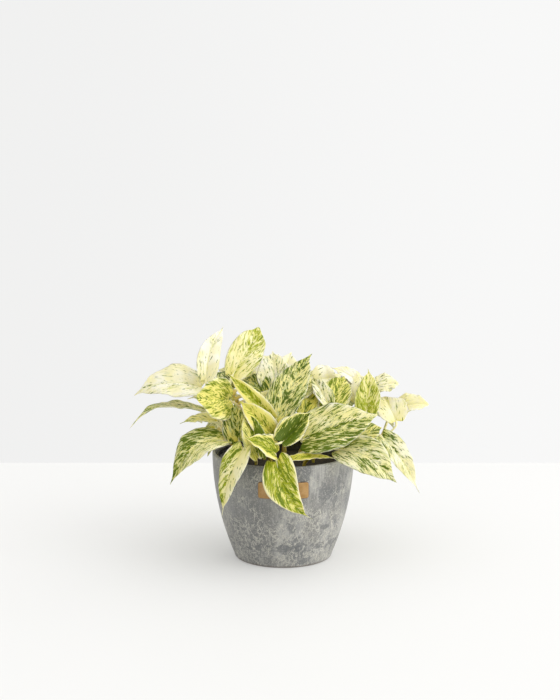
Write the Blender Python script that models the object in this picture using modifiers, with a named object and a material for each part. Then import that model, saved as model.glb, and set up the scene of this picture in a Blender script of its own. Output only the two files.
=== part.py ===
"""Potted marble queen pothos: a grey planter, the grower's pot and the soil in it, and ten leafy stems.

Metres, +Z up. The origin is at the middle of the planter's underside, and -Y is the front.
"""

import math
from collections import namedtuple

import bmesh
import bpy
import numpy as np

MM = 0.001

# Planter, a turned pot that narrows towards its foot
RIM_RADIUS = 0.089
PLANTER_HEIGHT = 0.135
TAPER = 0.0285
WALL = 0.004
FLOOR = 0.007
FOOT_ROUND = 0.0035
FLOOR_ROUND = 0.008
WALL_STEPS = 7
ROUND_STEPS = 3
TURN_STEPS = 36

# Grower's pot, which stands in the planter
LINER_GAP = 0.0003
LINER_WALL = 0.0016
LINER_FOOT_RADIUS = 0.050
LINER_NECK_RADIUS = 0.0787
LINER_NECK_HEIGHT = 0.1205
LINER_STEP = 0.0015
LINER_LIP_RADIUS = 0.0835
LINER_LIP_HEIGHT = 0.131
LIP_STEPS = 4

# Soil, which fills the grower's pot
SOIL_GAP = 0.0004
SOIL_EDGE_HEIGHT = 0.1165
SOIL_CROWN = 0.0045
SOIL_SHARES = (0, 0.25, 0.5, 0.75, 0.92)

# Bare label on the planter's front
LABEL_WIDTH = 0.0625
LABEL_HEIGHT = 0.0205
LABEL_THICKNESS = 0.0022
LABEL_MIDDLE_HEIGHT = 0.1056
LABEL_CORNER = 0.003
LABEL_GAP = 0.00045
LABEL_COLUMNS = 8
LABEL_ROWS = 3
LABEL_CORNER_STEPS = 3

# Stems, which stand in plain holes in the soil
STEM_RADIUS = 0.0026
STEM_FOOT_HEIGHT = 0.092
STEM_NECK_HEIGHT = 0.124
STEM_POINTS = 9
STEM_SIDES = 6
STEM_END = 0.7
HOLE_RADIUS = 0.0033
HOLE_FLOOR_HEIGHT = 0.0915
HOLE_SIDES = 12

# Petioles and blades
PETIOLE_RADIUS = 0.0016
PETIOLE_POINTS = 6
PETIOLE_SIDES = 4
PETIOLE_END = 0.6
PETIOLE_SINK = 0.15
FIRST_PETIOLE = 0.55
LEAVING_REACH = 0.17
ARRIVING_REACH = 0.38
STEM_SAMPLES = 40
MIDRIB_SAMPLES = 20
BLADE_THICKNESS = 0.0007
BLADE_ROWS = 6
BLADE_COLUMNS = 4
MERGE = 0.00001
SHARP_ANGLE = 40

# The blade's outline, as shares of its length: a heart-shaped base, and a tip that ends in a narrow drip
BROADEST = 0.5
ROUND_END = 0.035
POINTED_END = 0.95
DRIP_START = 0.74
DRIP_REACH = 0.2
DRIP = 0.55
HOOK_START = 0.6
LOBE = 0.11
LOBE_CURVE = 1.3
LOBE_FADE = 3
ROW_CROWDING = 1.25

# How a blade rises from its fold, where its arch is highest and how its margin waves
FOLD_RISE = 1.25
FOLD_EASE = 0.5
ARCH_SHIFT = 0.75
WAVES = 2.2
WAVE_HEIGHT = 0.04
WAVE_SLANT = 0.15
WAVE_SPREAD = 0.37
WAVE_SHIFT = 1.7

# Colour, roughness and metallic value of each material
GREY_GLAZE = ((0.27, 0.28, 0.29, 1), 0.55, 0.0)
BLACK_PLASTIC = ((0.012, 0.012, 0.011, 1), 0.35, 0.0)
DARK_SOIL = ((0.035, 0.022, 0.013, 1), 0.95, 0.0)
TAN_LEATHER = ((0.47, 0.24, 0.10, 1), 0.6, 0.0)
MARBLED_LEAF = ((0.55, 0.62, 0.30, 1), 0.45, 0.0)

# A leaf is given by its two ends and its width in millimetres and by the way its upper side faces.
# Arch, bend and hook are shares of its length, and its tip lies lower than given by the hook.
# Fold is in degrees. Point is 1 on a usual leaf, more on a slender one and less on a blunt one.
Leaf = namedtuple("Leaf", "base tip width face arch bend fold point hook", defaults=(0.06, 0, 16, 1, 0))
# A stem rises from its hole through the points of its way, with its leaves in order from the lowest up.
Stem = namedtuple("Stem", "hole way leaves")

STEMS = {
    "stem_front": Stem((-14, -34), [(-20, -46, 140), (-24, -62, 153)], {
        "front_centre": Leaf((-8, -91, 143), (34, -112, 76), 46, (0.15, -1, 0.25), 0.12, 0.15, point=1.45),
        "front_left": Leaf(
            (-47, -88, 158), (-74, -101, 77), 34, (-0.35, -0.9, 0.25), 0.10, 0.03, 22, point=1.5
        ),
        "small_over": Leaf((-10, -88, 151), (-46, -99, 174), 35, (0.2, -0.7, 0.8), 0.12, 0, 20, point=1.2),
        "folded_up": Leaf((-29, -84, 147), (-46, -70, 202), 36, (0.1, -1, 0.1), 0.06, 0, 35),
        "cream_lime": Leaf((-14, -69, 170), (-53, -68, 213), 33, (-0.2, -0.7, 0.6), 0.08, 0, 26),
        "unrolling": Leaf((-2, -86, 165), (33, -66, 199), 46, (-0.1, -0.8, 0.55), -0.08, 0, 42),
    }),
    "stem_left": Stem((-34, -14), [(-58, -26, 145), (-80, -34, 160)], {
        "left_facing": Leaf(
            (-65, -34, 206), (-102, -92, 219), 54, (0.72, -0.65, 0.25), 0.08, 0, 10, point=0.6
        ),
        "far_left": Leaf((-102, -12, 216), (-184, -25, 217), 56, (0, -0.6, 0.8), 0.14, 0, 14, hook=0.06),
        "thin_hook": Leaf((-99, -20, 188), (-186, -42, 196), 36, (0, -0.05, 1), 0.06, hook=0.24),
        "pointed": Leaf((-82, -42, 180), (-126, -60, 184), 26, (-0.2, -0.4, 0.9), 0.08, 0, 18, point=1.4),
        "left_droop": Leaf((-72, -57, 159), (-137, -80, 110), 48, (-0.3, -0.65, 0.7), 0.26, 0.05, point=1.2),
        "left_of_fold": Leaf((-54, -56, 160), (-60, -44, 205), 38, (-0.1, -0.9, 0.45)),
        "behind_rim": Leaf((-86, 24, 156), (-106, 16, 122), 28, (-0.8, -0.5, 0.4), 0.15),
        "left_top": Leaf((-68, 2, 194), (-122, 18, 198), 42, (-0.2, -0.1, 1), 0.10),
    }),
    "stem_upper_left": Stem((-24, 10), [(-44, 4, 165), (-62, 0, 205)], {
        "broad_upright": Leaf((-63, 2, 231), (-28, 50, 284), 44, (0.3, -0.8, 0.5), 0.05, 0, 12, point=0.75),
        "narrow_upright": Leaf(
            (-95, -28, 230), (-72, 22, 290), 31, (0.2, -0.8, 0.5), 0.05, -0.09, 22, point=1.2
        ),
        "dark_speckled": Leaf((-24, -10, 209), (-50, 24, 224), 38, (-0.2, -0.7, 0.7)),
        "behind_left": Leaf((-10, 0, 212), (-14, 34, 257), 46, (0, -0.8, 0.6), point=1.1),
        "top_left": Leaf((-42, 34, 216), (-86, 60, 228), 48, (-0.2, 0, 1), 0.10),
    }),
    "stem_centre": Stem((0, -10), [(2, -20, 160), (4, -34, 180)], {
        "central_star": Leaf((-9, -52, 185), (35, 6, 260), 48, (-0.15, -0.8, 0.6), point=1.1),
        "long_lime": Leaf((-13, -50, 185), (-69, -60, 246), 23, (-0.3, -0.7, 0.6), 0.06, 0, 20),
        "cream_mid": Leaf((-14, -34, 192), (-36, -12, 212), 36, (-0.1, -0.7, 0.6)),
        "cream_tip": Leaf((-2, 18, 212), (10, 62, 251), 32, (0, -0.8, 0.6)),
        "speckled_mid": Leaf((25, -36, 187), (36, -4, 213), 30, (0.1, -0.7, 0.6)),
        "middle_top": Leaf((16, -14, 204), (48, 20, 224), 34, (0.1, -0.3, 1), 0.08),
    }),
    "stem_right": Stem((26, -30), [(42, -44, 140), (56, -52, 152)], {
        "big_right": Leaf((24, -64, 163), (117, -56, 192), 66, (-0.1, -0.75, 0.65), 0.05, 0, 14),
        "right_lower": Leaf((69, -62, 150), (136, -84, 113), 50, (0.15, -0.85, 0.5), 0.10, -0.10, 14),
        "on_rim": Leaf((4, -86, 142), (62, -75, 144), 15, (0, -0.4, 1), 0.05, 0, 20),
        "behind_tip": Leaf((90, -40, 160), (122, -30, 172), 30, (0.1, -0.8, 0.5)),
    }),
    "stem_far_right": Stem((38, -2), [(72, -8, 146), (119, -14, 150)], {
        "upright_lime": Leaf((103, -20, 185), (109, 20, 237), 34, (0, -0.8, 0.5), point=1.3),
        "top_right": Leaf((116, 16, 211), (146, 18, 217), 36, (0, -0.5, 0.85), 0.10, point=0.7),
        "right_top": Leaf((98, 14, 182), (146, 40, 190), 42, (0.2, -0.1, 1), 0.10),
        "right_behind": Leaf(
            (122, -24, 158), (168, -42, 89), 33, (0.3, -0.85, 0.45), 0.04, -0.05, 14, point=1.5
        ),
        "pale_up": Leaf((140, -18, 176), (126, 12, 202), 44, (0.2, -0.8, 0.5), point=0.7),
        "pale_far": Leaf((139, 8, 184), (182, 0, 195), 36, (0, -0.5, 0.85), 0.10, point=0.6),
    }),
    "stem_mid_right": Stem((20, 14), [(40, 8, 165), (54, 4, 190)], {
        "lime_dark": Leaf((56, -16, 191), (79, 26, 226), 42, (0.1, -0.8, 0.6)),
        "pale_mid": Leaf((40, 30, 219), (74, 54, 217), 38, (0, -0.8, 0.5)),
        "thin_tip": Leaf((96, 37, 214), (61, 36, 235), 24, (0, -0.6, 0.8), 0.08, point=1.2),
        "diagonal_fold": Leaf((56, -30, 198), (35, 4, 229), 26, (0.2, -0.8, 0.5), 0.05, 0, 30),
        "cream_right": Leaf((82, 10, 197), (88, 50, 231), 34, (0.1, -0.8, 0.5)),
    }),
    "stem_back_left": Stem((-20, 36), [(-40, 48, 150), (-56, 54, 172)], {
        "back_left_low": Leaf((-62, 72, 160), (-100, 118, 100), 52, (-0.5, 0.8, 0.5), 0.10),
        "back_left_mid": Leaf((-50, 68, 188), (-80, 138, 160), 56, (-0.2, 0.6, 0.8), 0.10, 0, 14),
        "back_left_high": Leaf((-64, 40, 206), (-102, 96, 216), 50, (-0.3, 0.3, 0.9), 0.08, 0, 14),
        "back_left_side": Leaf((-88, 46, 176), (-110, 100, 148), 42, (-0.7, 0.3, 0.8), 0.10, 0, 14),
    }),
    "stem_back": Stem((2, 40), [(0, 50, 155), (-2, 58, 185)], {
        "back_low": Leaf((6, 92, 152), (2, 124, 70), 50, (0.1, 1, 0.3), 0.12, 0.04),
        "back_mid": Leaf((-14, 80, 194), (-22, 152, 166), 58, (0, 0.6, 0.8), 0.10, 0, 14),
        "back_high": Leaf((-12, 54, 218), (-26, 112, 238), 50, (-0.2, 0.4, 0.9), 0.06, 0, 14),
        "back_lean": Leaf((16, 60, 208), (40, 126, 214), 54, (0.2, 0.5, 0.9), 0.08, 0, 14),
    }),
    "stem_back_right": Stem((24, 34), [(46, 44, 150), (62, 50, 170)], {
        "back_right_low": Leaf((62, 76, 158), (104, 118, 100), 52, (0.5, 0.8, 0.5), 0.10),
        "back_right_mid": Leaf((56, 68, 186), (94, 132, 162), 56, (0.3, 0.6, 0.8), 0.10, 0, 14),
        "back_right_high": Leaf((66, 46, 204), (110, 96, 212), 50, (0.3, 0.3, 0.9), 0.08, 0, 14),
        "back_right_side": Leaf((102, 44, 172), (146, 82, 146), 46, (0.6, 0.2, 0.9), 0.10, 0, 14),
    }),
}


def unit(vector):
    return vector / np.linalg.norm(vector)


def leaf_axes(leaf):
    """The leaf's length, and the directions along it, out of its upper side and across it."""
    reach = (np.array(leaf.tip) - np.array(leaf.base)) * MM
    along = unit(reach)
    face = np.array(leaf.face, float)
    up = unit(face - along * (face @ along))
    return np.linalg.norm(reach), along, up, np.cross(along, up)


def half_width(leaf, v):
    """Half a blade's width at a share of its length."""
    pointed = POINTED_END * leaf.point
    broad = BROADEST / (BROADEST + pointed) * (1 + ROUND_END) - ROUND_END
    most = (broad + ROUND_END) ** BROADEST * (1 - broad) ** pointed
    share = (v + ROUND_END) ** BROADEST * (1 - v) ** pointed / most
    drip = np.clip((v - DRIP_START) / DRIP_REACH, 0, 1)
    return leaf.width * MM / 2 * share * (1 - DRIP * leaf.point * drip * drip * (3 - 2 * drip))


def blade_points(leaf, rows, columns):
    """The middle surface of a blade, as rows of points from its base to its tip."""
    length, along, up, side = leaf_axes(leaf)
    v = np.linspace(0, 1, rows + 1)[:, None] ** ROW_CROWDING * np.ones(columns + 1)
    u = np.linspace(-1, 1, columns + 1) * np.ones((rows + 1, 1))
    half = half_width(leaf, v)
    fold = math.radians(leaf.fold)
    across = half * u * math.cos(fold)
    lift = half * np.abs(u) * (FOLD_RISE - FOLD_EASE * np.abs(u)) * math.sin(fold)
    phase = sum(leaf.base) * WAVE_SPREAD + (u > 0) * WAVE_SHIFT
    wave = np.sin(2 * math.pi * (WAVES * v + WAVE_SLANT * u) + phase)
    lift += WAVE_HEIGHT * leaf.width * MM * wave * u * u * np.sin(math.pi * v)
    across += leaf.bend * length * np.sin(math.pi * v)
    lift += leaf.arch * length * np.sin(math.pi * v**ARCH_SHIFT)
    lift -= leaf.hook * length * np.clip((v - HOOK_START) / (1 - HOOK_START), 0, 1) ** 2
    forward = v * length - LOBE * length * np.abs(u) ** LOBE_CURVE * (1 - v) ** LOBE_FADE
    steps = forward[..., None] * along + across[..., None] * side + lift[..., None] * up
    return np.array(leaf.base) * MM + steps


def smooth_path(before, corners, count):
    """Points along a smooth curve through the corners, which comes from the point before them."""
    ends = [before, *corners, 2 * corners[-1] - corners[-2]]
    points = []
    for place in np.linspace(0, len(corners) - 1, count):
        k = min(int(place), len(corners) - 2)
        t = place - k
        a, b, c, d = ends[k : k + 4]
        bend = (2 * a - 5 * b + 4 * c - d) * t**2 + (3 * b - a - 3 * c + d) * t**3
        points.append(b + ((c - a) * t + bend) / 2)
    return points


def stem_path(stem, count):
    x, y = np.array(stem.hole) * MM
    foot = np.array((x, y, STEM_FOOT_HEIGHT))
    neck = np.array((x, y, STEM_NECK_HEIGHT))
    return [foot, *smooth_path(foot, [neck, *(np.array(point) * MM for point in stem.way)], count - 1)]


def petiole_path(stem, order, leaf, count):
    """From the stem to the foot of the blade, and a little way up its midrib."""
    path = stem_path(stem, STEM_SAMPLES + 1)
    share = FIRST_PETIOLE + (1 - FIRST_PETIOLE) * (order + 1) / len(stem.leaves)
    start = path[round(share * STEM_SAMPLES)]
    middle = blade_points(leaf, MIDRIB_SAMPLES, 2)[:, 1]
    base = middle[0]
    gap = np.linalg.norm(base - start)
    leaving = start + (unit(path[-1] - path[-4]) + np.array((0, 0, 1))) * gap * LEAVING_REACH
    arriving = base - unit(middle[1] - base) * gap * ARRIVING_REACH
    points = []
    for t in np.linspace(0, 1, count - 1):
        near = (1 - t) ** 3 * start + 3 * (1 - t) ** 2 * t * leaving
        points.append(near + 3 * (1 - t) * t**2 * arriving + t**3 * base)
    return [*points, middle[round(PETIOLE_SINK * MIDRIB_SAMPLES)]]


def clear_scene():
    for thing in list(bpy.data.objects):
        bpy.data.objects.remove(thing, do_unlink=True)


def collection(name):
    group = bpy.data.collections.new(name)
    bpy.context.scene.collection.children.link(group)
    return group


def material(name, finish):
    made = bpy.data.materials.new(name)
    made.use_nodes = True
    shader = made.node_tree.nodes["Principled BSDF"]
    shader.inputs["Base Color"].default_value = finish[0]
    shader.inputs["Roughness"].default_value = finish[1]
    shader.inputs["Metallic"].default_value = finish[2]
    made.diffuse_color = finish[0]
    return made


def add_object(name, data, group, finish=None):
    made = bpy.data.objects.new(name, data)
    group.objects.link(made)
    if finish:
        data.materials.append(finish)
    return made


def apply_modifiers(thing):
    """Gives the object the mesh that its modifiers make, and removes them."""
    shape = thing.evaluated_get(bpy.context.evaluated_depsgraph_get())
    mesh = bpy.data.meshes.new_from_object(shape)
    thing.modifiers.clear()
    thing.data = mesh


def arc(middle_radius, middle_height, size, start, end, steps):
    """Points of a round corner in a turned profile, from one angle to another in degrees."""
    points = []
    for angle in np.radians(np.linspace(start, end, steps + 1)):
        points.append((middle_radius + size * math.cos(angle), middle_height + size * math.sin(angle)))
    return points


def turned(name, profile, group, finish):
    """A body turned round the Z axis from a profile that runs down its outer side."""
    mesh = bpy.data.meshes.new(name)
    verts = [(radius, 0, height) for radius, height in profile]
    mesh.from_pydata(verts, [(k, k + 1) for k in range(len(verts) - 1)], [])
    body = add_object(name, mesh, group, finish)
    screw = body.modifiers.new("Turn", "SCREW")
    screw.steps = screw.render_steps = TURN_STEPS
    screw.use_merge_vertices = True
    screw.merge_threshold = MERGE
    screw.use_smooth_shade = True
    return body


def planter_radius(height):
    """The planter's outer radius at a height."""
    return RIM_RADIUS - TAPER * (1 - height / PLANTER_HEIGHT) ** 2


def liner_radius(height):
    """The grower's pot's outer radius at a height below its neck."""
    foot = FLOOR + LINER_GAP
    share = (height - foot) / (LINER_NECK_HEIGHT - foot)
    return LINER_FOOT_RADIUS + (LINER_NECK_RADIUS - LINER_FOOT_RADIUS) * share


def build_planter(group):
    rim_round = WALL / 2
    shoulder = PLANTER_HEIGHT - rim_round
    foot_radius = planter_radius(FOOT_ROUND) - FOOT_ROUND
    floor_radius = planter_radius(FLOOR + FLOOR_ROUND) - WALL - FLOOR_ROUND
    profile = [(0, FLOOR)]
    profile += arc(floor_radius, FLOOR + FLOOR_ROUND, FLOOR_ROUND, -90, 0, ROUND_STEPS)
    for height in np.linspace(FLOOR + FLOOR_ROUND, shoulder, WALL_STEPS)[1:-1]:
        profile.append((planter_radius(height) - WALL, height))
    profile += arc(planter_radius(shoulder) - rim_round, shoulder, rim_round, 180, 0, 2 * ROUND_STEPS)
    for height in np.linspace(shoulder, FOOT_ROUND, WALL_STEPS)[1:-1]:
        profile.append((planter_radius(height), height))
    profile += arc(foot_radius, FOOT_ROUND, FOOT_ROUND, 0, -90, ROUND_STEPS)
    profile.append((0, 0))
    return turned("planter", profile, group, material("grey_glaze", GREY_GLAZE))


def build_liner(group):
    foot = FLOOR + LINER_GAP
    neck = LINER_NECK_HEIGHT
    inner_foot = foot + LINER_WALL
    profile = [
        (0, inner_foot),
        (liner_radius(inner_foot) - LINER_WALL, inner_foot),
        (liner_radius(neck) - LINER_WALL, neck + LINER_STEP),
        (LINER_LIP_RADIUS - LINER_WALL, neck + 2 * LINER_STEP),
    ]
    lip_round = LINER_WALL / 2
    profile += arc(LINER_LIP_RADIUS - lip_round, LINER_LIP_HEIGHT - lip_round, lip_round, 180, 0, LIP_STEPS)
    profile += [(LINER_LIP_RADIUS, neck + LINER_STEP), (liner_radius(neck), neck), (liner_radius(foot), foot)]
    profile.append((0, foot))
    return turned("growers_pot", profile, group, material("black_plastic", BLACK_PLASTIC))


def build_soil(group):
    inset = LINER_WALL + SOIL_GAP
    bottom = FLOOR + LINER_GAP + LINER_WALL + LINER_GAP
    edge = liner_radius(SOIL_EDGE_HEIGHT) - inset
    profile = []
    for share in SOIL_SHARES:
        profile.append((edge * share, SOIL_EDGE_HEIGHT + SOIL_CROWN * (1 - share**2)))
    profile += [(edge, SOIL_EDGE_HEIGHT), (liner_radius(bottom) - inset, bottom), (0, bottom)]
    soil = turned("soil", profile, group, material("dark_soil", DARK_SOIL))
    cutters = collection("cutters")
    for name, stem in STEMS.items():
        depth = PLANTER_HEIGHT - HOLE_FLOOR_HEIGHT
        bpy.ops.mesh.primitive_cylinder_add(vertices=HOLE_SIDES, radius=HOLE_RADIUS, depth=depth)
        cutter = bpy.context.object
        cutter.name = name.replace("stem", "hole")
        cutter.location = (stem.hole[0] * MM, stem.hole[1] * MM, HOLE_FLOOR_HEIGHT + depth / 2)
        for holder in list(cutter.users_collection):
            holder.objects.unlink(cutter)
        cutters.objects.link(cutter)
        cutter.hide_render = True
        cutter.display_type = "WIRE"
        cut = soil.modifiers.new(cutter.name, "BOOLEAN")
        cut.object = cutter
        cut.operation = "DIFFERENCE"
    return soil


def build_label(group):
    """A flat plate with round corners, bent round the planter's wall."""
    bm = bmesh.new()
    bmesh.ops.create_grid(bm, x_segments=LABEL_COLUMNS, y_segments=LABEL_ROWS, size=0.5)
    for vert in bm.verts:
        vert.co.x *= LABEL_WIDTH
        vert.co.y *= LABEL_HEIGHT
    corners = [vert for vert in bm.verts if len(vert.link_edges) == 2]
    bmesh.ops.bevel(
        bm, geom=corners, offset=LABEL_CORNER, segments=LABEL_CORNER_STEPS, profile=0.5, affect="VERTICES"
    )
    bmesh.ops.triangulate(bm, faces=bm.faces)
    for vert in bm.verts:
        height = LABEL_MIDDLE_HEIGHT + vert.co.y
        radius = planter_radius(height) + LABEL_GAP + LABEL_THICKNESS / 2
        angle = vert.co.x / radius
        vert.co = (radius * math.sin(angle), -radius * math.cos(angle), height)
    mesh = bpy.data.meshes.new("label")
    bm.to_mesh(mesh)
    bm.free()
    label = add_object("label", mesh, group, material("tan_leather", TAN_LEATHER))
    solid = label.modifiers.new("Thickness", "SOLIDIFY")
    solid.thickness = LABEL_THICKNESS
    solid.offset = 0
    return label


def build_tube(name, points, radius, sides, group, end_share):
    """A tube through the points as a closed mesh, narrowing to end_share of its radius."""
    curve = bpy.data.curves.new(name, "CURVE")
    curve.dimensions = "3D"
    curve.bevel_depth = radius
    curve.bevel_resolution = sides // 2 - 2
    curve.use_fill_caps = True
    spline = curve.splines.new("POLY")
    spline.points.add(len(points) - 1)
    for k, (knot, point) in enumerate(zip(spline.points, points)):
        knot.co = (*point, 1)
        knot.radius = 1 + (end_share - 1) * k / (len(points) - 1)
    guide = add_object(name + "_route", curve, group)
    shape = guide.evaluated_get(bpy.context.evaluated_depsgraph_get())
    mesh = bpy.data.meshes.new_from_object(shape)
    bm = bmesh.new()
    bm.from_mesh(mesh)
    bmesh.ops.remove_doubles(bm, verts=bm.verts, dist=MERGE)
    bm.to_mesh(mesh)
    bm.free()
    tube = add_object(name, mesh, group)
    tube.matrix_world = guide.matrix_world
    bpy.data.objects.remove(guide)
    return tube


def build_blade(name, leaf, group):
    """One blade: a grid shaped by the leaf's outline, split into triangles and given its thickness."""
    bm = bmesh.new()
    bmesh.ops.create_grid(bm, x_segments=BLADE_COLUMNS, y_segments=BLADE_ROWS, size=1)
    order = sorted(bm.verts, key=lambda vert: (round(vert.co.y, 4), round(vert.co.x, 4)))
    points = blade_points(leaf, BLADE_ROWS, BLADE_COLUMNS)
    for vert, point in zip(order, points.reshape(-1, 3)):
        vert.co = point
    bmesh.ops.remove_doubles(bm, verts=bm.verts, dist=MERGE)
    bmesh.ops.triangulate(bm, faces=bm.faces)
    mesh = bpy.data.meshes.new(name)
    bm.to_mesh(mesh)
    bm.free()
    blade = add_object(name, mesh, group)
    solid = blade.modifiers.new("Thickness", "SOLIDIFY")
    solid.thickness = BLADE_THICKNESS
    solid.offset = 0
    return blade


def keep_main_body(thing):
    """Drops loose scraps and sealed hollows, so that one closed body is left."""
    bm = bmesh.new()
    bm.from_mesh(thing.data)
    bmesh.ops.remove_doubles(bm, verts=bm.verts, dist=MERGE)
    unseen = set(bm.faces)
    bodies = []
    while unseen:
        front = [unseen.pop()]
        body = list(front)
        while front:
            near = {other for edge in front.pop().edges for other in edge.link_faces} & unseen
            unseen -= near
            front += near
            body += near
        bodies.append(body)
    bodies.sort(key=len)
    for body in bodies[:-1]:
        bmesh.ops.delete(bm, geom=body, context="FACES")
    loose = [vert for vert in bm.verts if not vert.link_faces]
    bmesh.ops.delete(bm, geom=loose, context="VERTS")
    bm.to_mesh(thing.data)
    bm.free()


def build_stem(name, stem, group, finish):
    """A leafy stem: its stalk, petioles and blades joined in one body."""
    pieces = collection(name + "_pieces")
    for order, (leaf_name, leaf) in enumerate(stem.leaves.items()):
        build_blade(leaf_name, leaf, pieces)
        route = petiole_path(stem, order, leaf, PETIOLE_POINTS)
        build_tube(leaf_name + "_petiole", route, PETIOLE_RADIUS, PETIOLE_SIDES, pieces, PETIOLE_END)
    stalk = build_tube(name, stem_path(stem, STEM_POINTS), STEM_RADIUS, STEM_SIDES, group, STEM_END)
    stalk.data.materials.append(finish)
    union = stalk.modifiers.new("Leaves", "BOOLEAN")
    union.operation = "UNION"
    union.operand_type = "COLLECTION"
    union.collection = pieces
    apply_modifiers(stalk)
    for piece in list(pieces.objects):
        bpy.data.objects.remove(piece)
    bpy.data.collections.remove(pieces)
    keep_main_body(stalk)
    return stalk


def shade_round(thing):
    thing.data.shade_smooth()
    thing.data.set_sharp_from_angle(angle=math.radians(SHARP_ANGLE))


def main():
    clear_scene()
    pothos = collection("potted_marble_queen_pothos")
    build_planter(pothos)
    build_liner(pothos)
    build_soil(pothos)
    build_label(pothos)
    marbled_leaf = material("marbled_leaf", MARBLED_LEAF)
    for name, stem in STEMS.items():
        shade_round(build_stem(name, stem, pothos, marbled_leaf))


main()
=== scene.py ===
"""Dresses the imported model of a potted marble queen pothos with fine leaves, stalks, pot and label."""

import math
from collections import namedtuple

import bmesh
import bpy
import numpy as np
from bpy.props import FloatProperty, FloatVectorProperty, IntProperty, PointerProperty
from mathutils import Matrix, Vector


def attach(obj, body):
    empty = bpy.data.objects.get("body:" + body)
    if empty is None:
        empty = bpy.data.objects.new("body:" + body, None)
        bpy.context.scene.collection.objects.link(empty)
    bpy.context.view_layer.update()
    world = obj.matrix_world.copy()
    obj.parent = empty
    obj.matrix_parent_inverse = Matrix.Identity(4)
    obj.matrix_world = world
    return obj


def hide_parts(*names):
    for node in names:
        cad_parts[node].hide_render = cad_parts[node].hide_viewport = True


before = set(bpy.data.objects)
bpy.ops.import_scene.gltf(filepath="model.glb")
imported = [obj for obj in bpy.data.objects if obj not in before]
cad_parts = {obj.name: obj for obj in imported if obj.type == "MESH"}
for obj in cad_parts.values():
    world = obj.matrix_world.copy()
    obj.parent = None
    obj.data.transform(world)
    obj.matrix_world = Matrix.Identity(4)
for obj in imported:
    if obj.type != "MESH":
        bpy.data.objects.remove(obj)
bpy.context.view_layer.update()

bl_info = {
    "name": "Potted Marble Queen Pothos",
    "version": (1, 0, 0),
    "blender": (4, 5, 0),
    "location": "View3D > Sidebar > Pothos",
    "description": "Builds the leaves, stalks, planter, soil and label of a potted marble queen pothos",
    "category": "Add Mesh",
}

MM = 0.001
TURN = 2 * math.pi
BODY = "root"

# Planter, grower's pot, soil and label, as in the solids
RIM_RADIUS = 0.089
PLANTER_HEIGHT = 0.135
TAPER = 0.0285
WALL = 0.004
FLOOR = 0.007
FOOT_ROUND = 0.0035
FLOOR_ROUND = 0.008
LINER_GAP = 0.0003
LINER_WALL = 0.0016
LINER_FOOT_RADIUS = 0.050
LINER_NECK_RADIUS = 0.0787
LINER_NECK_HEIGHT = 0.1205
LINER_STEP = 0.0015
LINER_LIP_RADIUS = 0.0835
LINER_LIP_HEIGHT = 0.131
SOIL_GAP = 0.0004
SOIL_EDGE_HEIGHT = 0.1165
SOIL_CROWN = 0.0045
LABEL_WIDTH = 0.0625
LABEL_HEIGHT = 0.0205
LABEL_THICKNESS = 0.0022
LABEL_MIDDLE_HEIGHT = 0.1056
LABEL_CORNER = 0.003
LABEL_GAP = 0.00045

# Stems and petioles, as in the solids
STEM_RADIUS = 0.0026
STEM_FOOT_HEIGHT = 0.092
STEM_NECK_HEIGHT = 0.124
STEM_END = 0.7
PETIOLE_RADIUS = 0.0016
FIRST_PETIOLE = 0.55
LEAVING_REACH = 0.17
ARRIVING_REACH = 0.38
STEM_SAMPLES = 40
MIDRIB_SAMPLES = 20

# Outline, lobes, fold, arch and waves of a blade, as in the solids
BROADEST = 0.5
ROUND_END = 0.035
POINTED_END = 0.95
DRIP_START = 0.74
DRIP_REACH = 0.2
DRIP = 0.55
HOOK_START = 0.6
LOBE = 0.11
LOBE_CURVE = 1.3
LOBE_FADE = 3
ROW_CROWDING = 1.25
FOLD_RISE = 1.25
FOLD_EASE = 0.5
ARCH_SHIFT = 0.75
WAVES = 2.2
WAVE_HEIGHT = 0.04
WAVE_SLANT = 0.15
WAVE_SPREAD = 0.37
WAVE_SHIFT = 1.7

# How steeply the side veins run beside the midrib, and how much more so at the margin
VEIN_SLOPE = 1.45
VEIN_CURVE = 0.5

# What only the fine blades have: small ripples, rounder lobes, a curled tip, a midrib and quilting
RIPPLE_HEIGHT = 0.0005
LONG_RIPPLES = 5.3
LONG_RIPPLE_PHASE = 1.9
SHORT_RIPPLES = 8.7
SHORT_RIPPLE_PHASE = 3.1
SHORT_RIPPLE_SHARE = 0.6
LOBE_ROUNDING = 0.45
TIP_CURL = 0.035
CHANNEL_WIDTH = 0.0011
RIB_WIDTH = 0.0009
RIB_HEIGHT = 0.0004
QUILT_START = 0.003
MARGIN_START = 0.93

# What only the fine stalks have: sheath, knee below the blade, end under the midrib, knots on the stem
PETIOLE_FOOT = 1.2
PETIOLE_TAPER = 0.35
SHEATH_SWELL = 0.5
SHEATH_REACH = 0.4
KNEE_SWELL = 0.16
KNEE_PLACE = 0.95
KNEE_REACH = 0.05
MIDRIB_ROOT = 0.66
MIDRIB_TAPER = 0.13
MIDRIB_SINK = 0.0004
KNOT_SWELL = 0.16
KNOT_REACH = 0.022
STEM_SLIMNESS = 0.96

# How a leaf's marbling leans: how softly it changes at the midrib, and how strongly
LEAN_SOFTNESS = 0.35
LEAN = 0.45
SMALLEST_MARGIN = 0.12
MARGIN_BREADTH = 1.6
MARGIN_SOFTNESS = 0.25
WARM_BASE = 0.5
WARM_REACH = 0.08
COOL_MARGIN = 0.75
COOL_START = 0.7

# Worn edge of the label
LABEL_WORN_WIDTH = 0.0016
LABEL_WORN_DEPTH = 0.0006

# Where each mask of the blade's pattern begins and where it is full
GREEN_EDGE = (0.528, 0.560)
HAZE_EDGE = (0.44, 0.66)
MIST_EDGE = (0.54, 0.59)
DARK_EDGE = (0.485, 0.525)
DARK_WITHIN_GREEN = (0.545, 0.575)
SPECK_EDGE = (0.625, 0.655)
THREAD_EDGE = (0.57, 0.66)
IVORY_EDGE = (0.35, 0.65)

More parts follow.
